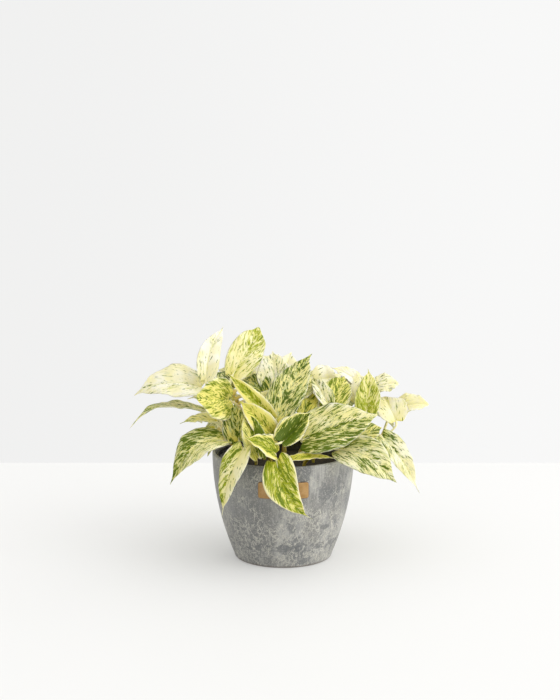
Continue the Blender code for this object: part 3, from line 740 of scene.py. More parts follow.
def stalk_material(name, near, far, streaks, settings):
    """Pale stalks with lengthwise green streaks, one colour at their foot and another at their end."""
    made, nodes, shader, place = new_material(name)
    along, cosine, sine, seed = point_values(nodes, "stalk")
    spot = nodes.combine(
        nodes.times_plus(cosine, 1.6, nodes.times(seed, 30.0)),
        nodes.times(sine, 1.6),
        nodes.times(along, 5.0),
    )
    streak = nodes.noise(spot, detail=3.0, roughness=0.6)
    colour = nodes.layered(
        near,
        (nodes.rise(along, 0.0, 0.45), far),
        (nodes.rise(streak, 0.55, 0.64, top=streaks), settings.lime),
        (nodes.rise(streak, 0.36, 0.46, 0.5, 0.0), settings.ivory),
    )
    nodes.feed(shader["Base Color"], colour)
    grain = grained(nodes, shader, place, size=0.0008, depth=0.00006, roughness=(0.34, 0.52))
    bump(nodes, shader, nodes.times_plus(streak, 0.0004, grain["Height"]))
    set_values(shader, {
        "Subsurface Weight": 0.15,
        "Subsurface Radius": (1.0, 1.0, 0.4),
        "Subsurface Scale": 0.002,
    })
    return made


def glaze_material(settings):
    """Grey glaze brushed downwards, with pale specks and veins, dark patches and a painted contact shadow
    round the foot.
    """
    made, nodes, shader, place = new_material("stone_grey_glaze")
    sides = nodes.split(place)
    height = sides["Z"]
    drawn = nodes.scaled(place, DRAWN_SCALE)
    streak = nodes.noise(nodes.scaled(place, STREAK_SCALE), detail=4.0, roughness=0.65)
    broad = nodes.noise(nodes.scaled(place, BROAD_SCALE), detail=3.0, roughness=0.55)
    sway = nodes.noise(place, detail=3.0, roughness=0.6, scale=90.0)

    patches = mottled(nodes, drawn, size=0.024, amount=0.42, softness=0.045, detail=5.0)["Mask"]
    sideways = nodes.times_plus(broad, 0.035, sides["X"])
    left_end = nodes.rise(sideways, *SMOOTH_ZONE_LEFT)
    smooth_zone = nodes.times(left_end, nodes.rise(sideways, *SMOOTH_ZONE_RIGHT))

    lower = nodes.rise(height, *LOWER_ZONE, 0.42, 0.72)
    zones = mottled(nodes, place, size=0.03, amount=lower, softness=0.07, detail=3.0)["Mask"]
    curdle = nodes.noise(drawn, detail=6.0, roughness=0.70, distortion=0.5, scale=120.0)
    veins = nodes.rise(nodes.calc("ABSOLUTE", nodes.minus(curdle, 0.5)), *VEIN_EDGE)
    specks = nodes.rise(nodes.noise(place, detail=3.0, roughness=0.7, scale=620.0), 0.54, 0.62)
    pale = nodes.calc("MAXIMUM", nodes.times(veins, zones), nodes.times(specks, 0.45))

    line = nodes.calc("ABSOLUTE", nodes.minus(nodes.times_plus(sway, 0.012, height), BAND_HEIGHT))
    broken = nodes.noise(place, detail=4.0, roughness=0.7, distortion=0.4, scale=130.0)
    band = nodes.times(nodes.rise(line, *BAND_EDGE), nodes.rise(broken, 0.46, 0.54))
    smudge = nodes.scaled(nodes.vector("SUBTRACT", place, SMUDGE_PLACE), SMUDGE_SCALE)
    smudge = nodes.times_plus(sway, 0.7, nodes.vector("LENGTH", smudge))
    dark = nodes.calc("MAXIMUM", band, nodes.rise(smudge, 1.25, 0.95))
    # Painted shade: a dark line round the foot stands in for the contact shadow on the floor
    foot = nodes.rise(nodes.times_plus(sway, 0.002, height), *FOOT_LINE)

    colour = nodes.layered(
        settings.glaze,
        (nodes.rise(broad, 0.38, 0.62), settings.pale_glaze),
        (nodes.rise(streak, 0.40, 0.60, 0.42, 0.0), settings.dark_glaze),
        (nodes.times(patches, 0.7), settings.dark_glaze),
        (nodes.times(smooth_zone, 0.50), settings.dark_glaze),
        (nodes.times(pale, 0.85), settings.mottle),
        (nodes.times(dark, 0.7), settings.dark_glaze),
        # painted contact shadow round the foot
        (nodes.times(foot, 0.85), settings.painted_foot_shadow),
    )
    nodes.feed(shader["Base Color"], colour)
    rough = nodes.times_plus(pale, 0.18, nodes.rise(streak, 0.3, 0.7, 0.36, 0.52))
    nodes.feed(shader["Roughness"], rough)
    grain = grain_of(nodes, place, size=0.0009, depth=0.00005)["Height"]
    relief = nodes.times_plus(streak, 0.00035, nodes.times_plus(pale, 0.00025, grain))
    bump(nodes, shader, relief, 0.8)
    return made


def plastic_material(settings):
    """Glossy black plastic with faint scuffs and dust."""
    made, nodes, shader, place = new_material("scuffed_black_plastic")
    stretched = nodes.scaled(place, (1, 1, 5))
    scuffs = mottled(nodes, stretched, size=0.012, amount=0.42, softness=0.08, detail=4.0)
    dust = nodes.times(scuffs["Mask"], 0.01)
    nodes.feed(shader["Base Color"], nodes.blend(dust, settings.plastic, (0.30, 0.26, 0.20, 1)))
    nodes.feed(shader["Roughness"], nodes.rise(scuffs["Level"], 0.3, 0.7, 0.22, 0.36))
    bump(nodes, shader, grain_of(nodes, place, size=0.0006, depth=0.00003)["Height"], 0.5)
    return made


def soil_material(name, wet, dry, roughness=0.95):
    """Crumbly soil, bark or perlite between two colours."""
    made, nodes, shader, place = new_material(name)
    patches = mottled(nodes, place, size=0.005, amount=0.5, softness=0.12, detail=5.0)
    nodes.feed(shader["Base Color"], nodes.blend(patches["Mask"], wet, dry))
    span = (roughness - 0.1, roughness)
    grain = grained(nodes, shader, place, size=0.0012, depth=0.0004, roughness=span)
    bump(nodes, shader, grain["Height"])
    return made


def leather_material(settings):
    """Tan leather with pores, a faint cloudiness and a burnished edge."""
    made, nodes, shader, place = new_material("tan_label_leather")
    edge = nodes.add("ShaderNodeAttribute", attribute_name="edge").outputs["Fac"]
    clouds = mottled(nodes, place, size=0.009, amount=0.5, softness=0.2, detail=4.0)
    grain = grained(nodes, shader, place, size=0.0009, depth=0.00012, roughness=(0.48, 0.68))
    light = nodes.blend(0.35, settings.leather, (0.85, 0.60, 0.30, 1))
    colour = nodes.layered(
        settings.leather,
        (nodes.times(clouds["Mask"], 0.7), light),
        (nodes.rise(grain["Level"], 0.50, 0.30, top=0.35), settings.leather_edge),
        (nodes.rise(edge, 0.55, 1.0, top=0.9), settings.leather_edge),
    )
    nodes.feed(shader["Base Color"], colour)
    bump(nodes, shader, grain["Height"])
    return made


def floor_material(settings):
    """Pale floor with a slight change of tone, which glows faintly: painted light that lifts the shade round
    the plant.
    """
    made, nodes, shader, place = new_material("pale_studio_floor")
    tone = nodes.noise(place, scale=3.0)
    paler = tuple(min(1.0, value * 1.015) for value in settings.floor)
    nodes.feed(shader["Base Color"], nodes.blend(tone, settings.floor, paler))
    nodes.feed(shader["Roughness"], nodes.rise(tone, 0.3, 0.7, 0.62, 0.68))
    # Painted light: the floor's faint glow lifts its shadows
    set_values(shader, {"Emission Color": (1.0, 1.0, 0.985, 1), "Emission Strength": settings.painted_floor_glow})
    return made


def turning_tree(name):
    """Turns a profile round the Z axis into a closed body whose wall is a little uneven."""
    inputs = {
        "Profile": "Geometry",
        "Steps": TURNED_STEPS,
        "Unevenness": 0.0,
        "Lumps": 0.0,
        "Lump Size": 0.01,
        "Material": "Material",
    }
    nodes, given, result = new_tree(name, "GeometryNodeTree", inputs, {"Body": "Geometry"})
    size = nodes.add("GeometryNodeAttributeDomainSize", {"Geometry": given["Profile"]}, component="CURVE")
    rows = size.outputs["Point Count"]
    columns = nodes.plus(given["Steps"], 1.0)
    grid = nodes.add("GeometryNodeMeshGrid", {"Vertices X": columns, "Vertices Y": rows})
    index = nodes.add("GeometryNodeInputIndex").outputs["Index"]
    step = nodes.calc("FLOOR", nodes.divided(nodes.plus(index, 0.5), rows))
    row = nodes.minus(index, nodes.times(step, rows))
    position = nodes.add("GeometryNodeInputPosition").outputs["Position"]
    sample = nodes.add("GeometryNodeSampleIndex", data_type="FLOAT_VECTOR", domain="POINT")
    nodes.feed(sample.inputs["Geometry"], given["Profile"])
    nodes.feed(sample.inputs["Value"], position)
    nodes.feed(sample.inputs["Index"], row)
    profile = nodes.split(sample.outputs["Value"])
    angle = nodes.times(nodes.divided(step, given["Steps"]), TURN)
    turned = nodes.combine(
        nodes.times(profile["X"], nodes.calc("COSINE", angle)),
        nodes.times(profile["X"], nodes.calc("SINE", angle)),
        profile["Z"],
    )
    body = nodes.change("SetPosition", grid.outputs["Mesh"], position=turned)
    body = nodes.change("MergeByDistance", body, distance=0.00001)
    normal = nodes.add("GeometryNodeInputNormal").outputs["Normal"]
    swell = nodes.noise(position, detail=1.0, scale=28.0)
    swell = nodes.times(nodes.minus(swell, 0.5), given["Unevenness"])
    swell = nodes.times(swell, nodes.rise(nodes.split(position)["Z"], 0.002, 0.012))
    lump = nodes.noise(position, detail=4.0, roughness=0.6, scale=nodes.divided(1.0, given["Lump Size"]))
    lump = nodes.times(nodes.minus(lump, 0.62), given["Lumps"])
    lump = nodes.times(lump, nodes.rise(nodes.split(normal)["Z"], 0.6, 0.95))
    offset = nodes.vector("ADD", nodes.scaled(normal, swell), nodes.combine(z=lump))
    body = nodes.change("SetPosition", body, offset=offset)
    nodes.feed(result["Body"], nodes.finish(body, given["Material"]))
    return nodes.tree


def sweeping_tree(name):
    """Sweeps a round section with a groove on its upper side along curves, as thick as their points say."""
    inputs = {"Route": "Geometry", "Sides": 12, "Groove": 0.3, "Material": "Material"}
    nodes, given, result = new_tree(name, "GeometryNodeTree", inputs, {"Stalk": "Geometry"})
    factor = nodes.add("GeometryNodeSplineParameter").outputs["Factor"]
    route = nodes.add("GeometryNodeSetCurveNormal", {"Curve": given["Route"]}, mode="Z_UP")
    route = nodes.change("StoreNamedAttribute", route.outputs[0], name="along", value=factor)
    radius = nodes.add("GeometryNodeInputRadius").outputs["Radius"]
    section = nodes.add("GeometryNodeCurvePrimitiveCircle", {"Resolution": given["Sides"], "Radius": 1.0})
    position = nodes.add("GeometryNodeInputPosition").outputs["Position"]
    dent = nodes.times(nodes.rise(nodes.split(position)["Y"], 0.55, 1.0), given["Groove"])
    sink = nodes.combine(y=nodes.times(dent, -1.0))
    section = nodes.change("SetPosition", section.outputs[0], offset=sink)
    section = nodes.change("StoreNamedAttribute", section, name="around", value=factor)
    stalk = nodes.change("CurveToMesh", route, profile_curve=section, scale=radius, fill_caps=True)
    nodes.feed(result["Stalk"], nodes.finish(stalk, given["Material"]))
    return nodes.tree


def scattering_tree(name):
    """Scatters rough grains over the upper side of a body."""
    inputs = {
        "Ground": "Geometry",
        "Density": 100000.0,
        "Largest": 0.003,
        "Smallest": 0.0005,
        "Flatness": 0.6,
        "Seed": 1,
        "Material": "Material",
    }
    nodes, given, result = new_tree(name, "GeometryNodeTree", inputs, {"Grains": "Geometry"})
    normal = nodes.add("GeometryNodeInputNormal").outputs["Normal"]
    upwards = nodes.split(normal)["Z"]
    chosen = nodes.calc("GREATER_THAN", upwards, 0.5)
    points = nodes.add(
        "GeometryNodeDistributePointsOnFaces",
        {"Mesh": given["Ground"], "Selection": chosen, "Density": given["Density"], "Seed": given["Seed"]},
    )
    ball = nodes.add("GeometryNodeMeshIcoSphere", {"Radius": 0.5, "Subdivisions": 2})
    position = nodes.add("GeometryNodeInputPosition").outputs["Position"]
    dents = nodes.times_plus(nodes.noise(nodes.scaled(position, (2.6, 2.6, 2.6))), 1.3, 0.35)
    ball = nodes.change("SetPosition", ball.outputs["Mesh"], position=nodes.scaled(position, dents))
    chance = nodes.add("FunctionNodeRandomValue", {"Seed": given["Seed"]}).outputs["Value"]
    span = nodes.minus(given["Largest"], given["Smallest"])
    size = nodes.times_plus(nodes.calc("POWER", chance, 3.0), span, given["Smallest"])
    narrow = nodes.add("FunctionNodeRandomValue", {"Min": 0.55, "Max": 1.0, "Seed": 7}).outputs["Value"]
    scale = nodes.combine(size, nodes.times(size, narrow), nodes.times(size, given["Flatness"]))
    turn = nodes.add("FunctionNodeRandomValue", data_type="FLOAT_VECTOR")
    set_values(turn.inputs, {"Min": (-0.5, -0.5, 0), "Max": (0.5, 0.5, TURN), "Seed": 11})
    rotation = nodes.add("FunctionNodeEulerToRotation", {"Euler": turn.outputs["Value"]}).outputs[0]
    grains = nodes.change(
        "InstanceOnPoints", points.outputs["Points"], instance=ball, rotation=rotation, scale=scale
    )
    nodes.feed(result["Grains"], nodes.finish(grains, given["Material"]))
    return nodes.tree


def made_by(tree, source, **values):
    """The plain mesh that a Geometry Nodes tree makes of a mesh or curve."""
    holder = bpy.data.objects.new(source.name + "_holder", source)
    bpy.context.scene.collection.objects.link(holder)
    modifier = holder.modifiers.new(tree.name, "NODES")
    modifier.node_group = tree
    wanted = {label_of(name): value for name, value in values.items()}
    for item in tree.interface.items_tree:
        if item.item_type == "SOCKET" and item.in_out == "INPUT" and item.name in wanted:
            modifier[item.identifier] = wanted[item.name]
    depsgraph = bpy.context.evaluated_depsgraph_get()
    mesh = bpy.data.meshes.new_from_object(holder.evaluated_get(depsgraph), depsgraph=depsgraph)
    bpy.data.objects.remove(holder)
    return mesh


def curve_of(name, routes):
    """A curve with a straight-sided spline for each route, which is a list of points and their radii."""
    curve = bpy.data.curves.new(name, "CURVE")
    curve.dimensions = "3D"
    for points, radii in routes:
        spline = curve.splines.new("POLY")
        spline.points.add(len(points) - 1)
        for knot, point, radius in zip(spline.points, points, radii):
            knot.co = (*point, 1)
            knot.radius = radius
    return curve


def put_in(name, mesh, slot, *nodes):
    """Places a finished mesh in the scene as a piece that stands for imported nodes."""
    piece = bpy.data.objects.new(name, mesh)
    bpy.context.scene.collection.objects.link(piece)
    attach(piece, BODY)
    if nodes:
        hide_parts(*nodes)
    return piece


Part = namedtuple("Part", "points faces material values places", defaults=({}, None))
Grains = namedtuple("Grains", "density largest smallest flatness seed material")


def part_of(mesh, material=0):
    """A mesh as plain arrays."""
    points = np.empty(len(mesh.vertices) * 3)
    mesh.vertices.foreach_get("co", points)
    faces = [tuple(face.vertices) for face in mesh.polygons]
    return Part(points.reshape(-1, 3), faces, material)


def joined(name, parts, materials, values=()):
    """One smooth mesh from parts. A named value has four numbers a point, 0 where a part has none."""
    points, faces, slots, places = [], [], [], []
    columns = {value: [] for value in values}
    first = 0
    for part in parts:
        count = len(part.points)
        points.append(part.points)
        faces += [tuple(corner + first for corner in face) for face in part.faces]
        slots += [part.material] * len(part.faces)
        places.append(np.zeros((count, 2)) if part.places is None else part.places)
        for value, column in columns.items():
            column.append(part.values.get(value, np.zeros((count, 4))))
        first += count
    mesh = bpy.data.meshes.new(name)
    mesh.from_pydata(np.concatenate(points).tolist(), [], faces)
    for material in materials:
        mesh.materials.append(material)
    mesh.polygons.foreach_set("material_index", slots)
    mesh.shade_smooth()
    for value, column in columns.items():
        attribute = mesh.attributes.new(value, "FLOAT_COLOR", "POINT")
        attribute.data.foreach_set("color", np.concatenate(column).astype(np.float32).ravel())
    if any(part.places is not None for part in parts):
        corners = np.empty(len(mesh.loops), int)
        mesh.loops.foreach_get("vertex_index", corners)
        layer = mesh.uv_layers.new(name="Veins")
        layer.uv.foreach_set("vector", np.concatenate(places)[corners].astype(np.float32).ravel())
    mesh.update()
    return mesh


def unit(vector):
    return vector / np.linalg.norm(vector, axis=-1, keepdims=True)


def smooth_step(value):
    value = np.clip(value, 0, 1)
    return value * value * (3 - 2 * value)


def leaf_axes(leaf):
    """The leaf's length, and the directions along it, out of its upper side and across it."""
    reach = (np.array(leaf.tip) - np.array(leaf.base)) * MM
    along = unit(reach)
    face = np.array(leaf.face, float)
    up = unit(face - along * (face @ along))
    return np.linalg.norm(reach), along, up, np.cross(along, up)


def blade_grid(rows, columns):
    """How far along the midrib and how far across each point of a blade is."""
    v = np.linspace(0, 1, rows + 1)[:, None] ** ROW_CROWDING * np.ones(columns + 1)
    u = np.linspace(-1, 1, columns + 1) * np.ones((rows + 1, 1))
    return v, u


def half_width(leaf, v):
    """Half the blade's width at a share of its length."""
    pointed = POINTED_END * leaf.point
    broad = BROADEST / (BROADEST + pointed) * (1 + ROUND_END) - ROUND_END
    most = (broad + ROUND_END) ** BROADEST * (1 - broad) ** pointed
    share = (v + ROUND_END) ** BROADEST * (1 - v) ** pointed / most
    drip = smooth_step((v - DRIP_START) / DRIP_REACH)
    return leaf.width * MM / 2 * share * (1 - DRIP * leaf.point * drip)


def blade_points(leaf, rows, columns, fine=0.0):
    """The middle surface of a blade. With fine above 0 it has rounder lobes, ripples and a curled tip."""
    length, along, up, side = leaf_axes(leaf)
    v, u = blade_grid(rows, columns)
    half = half_width(leaf, v)
    fold = math.radians(leaf.fold)
    across = half * u * math.cos(fold)
    lift = half * np.abs(u) * (FOLD_RISE - FOLD_EASE * np.abs(u)) * math.sin(fold)
    phase = sum(leaf.base) * WAVE_SPREAD + (u > 0) * WAVE_SHIFT
    hump = np.sin(math.pi * v)
    wave = np.sin(TURN * (WAVES * v + WAVE_SLANT * u) + phase)
    lift += WAVE_HEIGHT * leaf.width * MM * wave * u * u * hump
    ripple = np.sin(TURN * LONG_RIPPLES * v + phase * LONG_RIPPLE_PHASE)
    ripple = ripple + SHORT_RIPPLE_SHARE * np.sin(TURN * SHORT_RIPPLES * v + phase * SHORT_RIPPLE_PHASE)
    lift += fine * RIPPLE_HEIGHT * ripple * np.abs(u) ** 3 * hump
    across += leaf.bend * length * hump
    lift += leaf.arch * length * np.sin(math.pi * v**ARCH_SHIFT)
    lift -= leaf.hook * length * np.clip((v - HOOK_START) / (1 - HOOK_START), 0, 1) ** 2
    rounding = 1 - fine * LOBE_ROUNDING * np.abs(u) ** 7
    forward = v * length - LOBE * length * np.abs(u) ** LOBE_CURVE * (1 - v) ** LOBE_FADE * rounding
    curl = fine * TIP_CURL * length * np.clip((v - DRIP_START) / (1 - DRIP_START), 0, 1) ** 2
    across += curl * math.cos(2 * sum(leaf.tip))
    lift -= curl
    steps = forward[..., None] * along + across[..., None] * side + lift[..., None] * up
    return np.array(leaf.base) * MM + steps


def smooth_path(before, corners, count):
    """Points along a smooth curve through the corners, which comes from the point before them."""
    ends = [before, *corners, 2 * corners[-1] - corners[-2]]
    points = []
    for place in np.linspace(0, len(corners) - 1, count):
        k = min(int(place), len(corners) - 2)
        t = place - k
        a, b, c, d = ends[k : k + 4]
        bend = (2 * a - 5 * b + 4 * c - d) * t**2 + (3 * b - a - 3 * c + d) * t**3
        points.append(b + ((c - a) * t + bend) / 2)
    return points


def stem_path(stem, count):
    """Points along a stem, from its foot in the soil straight up and then on its way."""
    x, y = np.array(stem.hole) * MM
    foot = np.array((x, y, STEM_FOOT_HEIGHT))
    neck = np.array((x, y, STEM_NECK_HEIGHT))
    way = [np.array(point) * MM for point in stem.way]
    return [foot, *smooth_path(foot, [neck, *way], count - 1)]


def petiole_share(stem, order):
    """How far up its stem a petiole leaves it."""
    return FIRST_PETIOLE + (1 - FIRST_PETIOLE) * (order + 1) / len(stem.leaves)


def petiole_route(stem, order, leaf, count):
    """A petiole from its stem to its blade and a little way under the midrib, with its radii."""
    path = stem_path(stem, STEM_SAMPLES + 1)
    start = path[round(petiole_share(stem, order) * STEM_SAMPLES)]
    blade = blade_points(leaf, MIDRIB_SAMPLES, 2)
    middle = blade[:, 1]
    base = middle[0]
    gap = np.linalg.norm(base - start)
    leaving = start + (unit(path[-1] - path[-4]) + np.array((0, 0, 1))) * gap * LEAVING_REACH
    arriving = base - unit(middle[1] - base) * gap * ARRIVING_REACH
    points, radii = [], []
    for t in np.linspace(0, 1, count):
        near = (1 - t) ** 3 * start + 3 * (1 - t) ** 2 * t * leaving
        points.append(near + 3 * (1 - t) * t**2 * arriving + t**3 * base)
        sheath = SHEATH_SWELL * (1 - smooth_step(t / SHEATH_REACH))
        knee = KNEE_SWELL * math.exp(-(((t - KNEE_PLACE) / KNEE_REACH) ** 2))
        radii.append(PETIOLE_RADIUS * (PETIOLE_FOOT - PETIOLE_TAPER * t + sheath + knee))
    under = -leaf_axes(leaf)[2]
    for step in (1, 2, 3):
        points.append(middle[step] + under * MIDRIB_SINK)
        radii.append(PETIOLE_RADIUS * (MIDRIB_ROOT - MIDRIB_TAPER * step))
    return points, radii


def stem_route(stem):
    """A stem's points, with radii that swell where its petioles leave it."""
    points = stem_path(stem, STALK_POINTS)
    shares = np.linspace(0, 1, STALK_POINTS)
    radii = 1 + (STEM_END - 1) * shares
    for order in range(len(stem.leaves)):
        radii += KNOT_SWELL * np.exp(-(((shares - petiole_share(stem, order)) / KNOT_REACH) ** 2))
    return points, (radii * STEM_RADIUS * STEM_SLIMNESS).tolist()


def marbling_values(look, u, v, seed):
    """For each point of a blade: how green, how dark and how lime it is, and the leaf's own number."""
    sides = look.side * smooth_step((u + LEAN_SOFTNESS) / (2 * LEAN_SOFTNESS)) * 2 - look.side
    ends = look.tip * (2 * v - 1)
    keep = 0
    if look.margin > SMALLEST_MARGIN:
        keep = smooth_step((np.abs(u) - 1 + look.margin * MARGIN_BREADTH) / MARGIN_SOFTNESS)
    green = np.clip(look.green + LEAN * sides + LEAN * ends - 0.5 * keep, 0, 1)
    dark = np.clip(look.dark + 0.5 * sides, 0, 1)
    return np.stack([green, dark, np.full_like(u, look.lime), np.full_like(u, seed)], -1)


def fine_blade(leaf, look, seed, settings):
    """A thin closed blade with midrib, side veins and marbling. Both sides share the margin's points."""
    rows, columns = BLADE_ROWS, BLADE_COLUMNS
    v, u = blade_grid(rows, columns)
    middle = blade_points(leaf, rows, columns, 1.0)
    normal = np.cross(np.gradient(middle, axis=1), np.gradient(middle, axis=0))
    normal[-1] = normal[-2]
    normal = unit(normal)
    length = leaf_axes(leaf)[0]
    off = np.abs(half_width(leaf, v) * u)
    vein = v * length - off * VEIN_SLOPE * (1 + VEIN_CURVE * np.abs(u))
    strength = smooth_step(off / QUILT_START) * (1 - u**4) * np.sin(math.pi * np.clip(v, 0, 1)) ** 0.5
    quilt = settings.quilting * np.cos(TURN * vein / settings.vein_spacing) * strength
    taper = np.clip(1 - v, 0, 1) ** 0.5
    channel = settings.midrib_depth * taper * np.exp(-((off / CHANNEL_WIDTH) ** 2))
    rib = np.exp(-((off / RIB_WIDTH) ** 2))
    ridge = RIB_HEIGHT * taper * rib
    thick = settings.blade_thickness / 2 * np.sqrt(np.clip(1 - u**6, 0, 1)) * (v > 0) * (v < 1)
    inner = (np.abs(u) < 1) & (v > 0) & (v < 1)
    upper = middle + normal * (quilt + thick - channel * inner)[..., None]
    lower = middle + normal * (quilt - thick - (channel + ridge) * inner)[..., None]

    marks = np.arange((rows + 1) * (columns + 1)).reshape(rows + 1, columns + 1)
    marks[-1] = marks[-1, 0]
    below = marks.copy()
    count = marks[-1, 0] + 1
    below[1:-1, 1:-1] = count + np.arange((rows - 1) * (columns - 1)).reshape(rows - 1, columns - 1)
    faces = []
    for side, index in ((0, marks), (1, below)):
        a, b, c, d = index[:-1, :-1], index[:-1, 1:], index[1:, 1:], index[1:, :-1]
        quads = np.stack([a, b, c, d] if side == 0 else [a, d, c, b], -1)
        faces += [tuple(face) for face in quads[:-1].reshape(-1, 4).tolist()]
        tips = np.stack([a, b, c] if side == 0 else [a, c, b], -1)
        faces += [tuple(face) for face in tips[-1].tolist()]

    def both(above, beneath):
        """Values for the upper points and then for those that only the under side has."""
        width = above.shape[-1]
        beneath = beneath[1:-1, 1:-1].reshape(-1, width)
        return np.concatenate([above.reshape(-1, width)[:count], beneath])

    marbling = marbling_values(look, u, v, seed)
    edge = smooth_step((np.abs(u) - MARGIN_START) / (1 - MARGIN_START))
    # Yellow of the ground: its own colour at the blade's base, partly painted shade on the inner leaves
    warm = np.clip(look.warm + WARM_BASE * np.exp(-v / WARM_REACH), 0, 1)
    warm *= 1 - COOL_MARGIN * smooth_step((np.abs(u) - COOL_START) / (1 - COOL_START))
    above = np.stack([np.zeros_like(u), rib * taper, edge, warm], -1)
    beneath = above + np.array((1.0, 0, 0, 0))
    places = np.stack([vein, off * np.sign(u)], -1)
    values = {"marbling": both(marbling, marbling), "blade": both(above, beneath)}
    return Part(both(upper, lower), faces, 0, values, both(places, places))


def stalk_part(routes, material, seed, groove):
    """Stalks swept along routes, with their place along and around for the streaks."""
    tree = shared_tree("Stalk Sweep", sweeping_tree)
    mesh = made_by(tree, curve_of("stalk_routes", routes), sides=STALK_SIDES, groove=groove)
    part = part_of(mesh, material)
    along, turn = np.zeros((2, len(part.points)), np.float32)
    mesh.attributes["along"].data.foreach_get("value", along)
    mesh.attributes["around"].data.foreach_get("value", turn)
    turn *= TURN
    values = np.stack([along, np.cos(turn), np.sin(turn), np.full(len(along), seed)], -1)
    return part._replace(values={"stalk": values})


def planter_radius(height):
    """The planter's outer radius at a height."""
    return RIM_RADIUS - TAPER * (1 - height / PLANTER_HEIGHT) ** 2


def liner_radius(height):
    """The grower's pot's outer radius at a height below its neck."""
    foot = FLOOR + LINER_GAP
    share = (height - foot) / (LINER_NECK_HEIGHT - foot)
    return LINER_FOOT_RADIUS + (LINER_NECK_RADIUS - LINER_FOOT_RADIUS) * share


def arc(middle_radius, middle_height, size, start, end, steps):
    """Points of a round corner in a turned profile, from one angle to another in degrees."""
    points = []
    for angle in np.radians(np.linspace(start, end, steps + 1)):
        points.append((middle_radius + size * math.cos(angle), middle_height + size * math.sin(angle)))
    return points


def level_line(start, end, count, height):
    """Points of a turned profile at one height, from one radius to another."""
    return [(radius, height) for radius in np.linspace(start, end, count)]


def wall_line(radius_at, start, end, count, inset=0.0):
    """Points of a turned profile along a wall, from one height to another."""
    return [(radius_at(height) - inset, height) for height in np.linspace(start, end, count)]


def turned(profile, steps, material, **values):
    """A closed body turned round the Z axis from a profile of radii and heights."""
    points = [(radius, 0, height) for radius, height in profile]
    curve = curve_of("profile", [(points, [1] * len(points))])
    tree = shared_tree("Turned Body", turning_tree)
    return made_by(tree, curve, steps=steps, material=material, **values)


def mesh_of(name, bm, material):
    """A finished mesh with one material."""
    mesh = bpy.data.meshes.new(name)
    bm.to_mesh(mesh)
    bm.free()
    mesh.materials.append(material)
    return mesh


class POTHOS_OT_planter(bpy.types.Operator):
    """Turn the planter and give it its glaze"""

    bl_idname = "pothos.planter"
    bl_label = "Make Planter"

    def execute(self, context):
        settings = context.scene.pothos_planter
        rim_round = WALL / 2
        shoulder = PLANTER_HEIGHT - rim_round
        foot_radius = planter_radius(FOOT_ROUND) - FOOT_ROUND
        floor_radius = planter_radius(FLOOR + FLOOR_ROUND) - WALL - FLOOR_ROUND
        profile = level_line(0, floor_radius, 8, FLOOR)[:-1]
        profile += arc(floor_radius, FLOOR + FLOOR_ROUND, FLOOR_ROUND, -90, 0, 8)
        profile += wall_line(planter_radius, FLOOR + FLOOR_ROUND, shoulder, 36, WALL)[1:-1]
        profile += arc(planter_radius(shoulder) - rim_round, shoulder, rim_round, 180, 0, 14)
        profile += wall_line(planter_radius, shoulder, FOOT_ROUND, 42)[1:-1]
        profile += arc(foot_radius, FOOT_ROUND, FOOT_ROUND, 0, -90, 8)
        profile += level_line(foot_radius, 0, 9, 0)[1:]
        mesh = turned(profile, TURNED_STEPS, glaze_material(settings), unevenness=settings.unevenness)
        put_in("planter_glazed", mesh, "grey_glaze", "planter")
        return {"FINISHED"}


class POTHOS_OT_growers_pot(bpy.types.Operator):
    """Turn the black grower's pot with its rolled lip"""

    bl_idname = "pothos.growers_pot"
    bl_label = "Make Grower's Pot"

    def execute(self, context):
        settings = context.scene.pothos_planter
        foot = FLOOR + LINER_GAP
        neck = LINER_NECK_HEIGHT
        inner_foot = foot + LINER_WALL
        lip_round = LINER_WALL / 2
        profile = level_line(0, liner_radius(inner_foot) - LINER_WALL, 8, inner_foot)
        profile += wall_line(liner_radius, inner_foot, neck, 24, LINER_WALL)[1:]
        profile[-1] = (profile[-1][0], neck + LINER_STEP)
        profile.append((LINER_LIP_RADIUS - LINER_WALL - 0.0005, neck + 1.8 * LINER_STEP))
        profile.append((LINER_LIP_RADIUS - LINER_WALL, neck + 2.2 * LINER_STEP))
        profile += arc(LINER_LIP_RADIUS - lip_round, LINER_LIP_HEIGHT - lip_round, lip_round, 180, 0, 10)
        profile.append((LINER_LIP_RADIUS, neck + 1.3 * LINER_STEP))
        profile.append((LINER_LIP_RADIUS - 0.0004, neck + LINER_STEP))
        profile += wall_line(liner_radius, neck, foot, 24)
        profile += level_line(liner_radius(foot), 0, 8, foot)[1:]
        mesh = turned(profile, 160, plastic_material(settings))
        put_in("growers_pot_black", mesh, "black_plastic", "growers_pot")
        return {"FINISHED"}


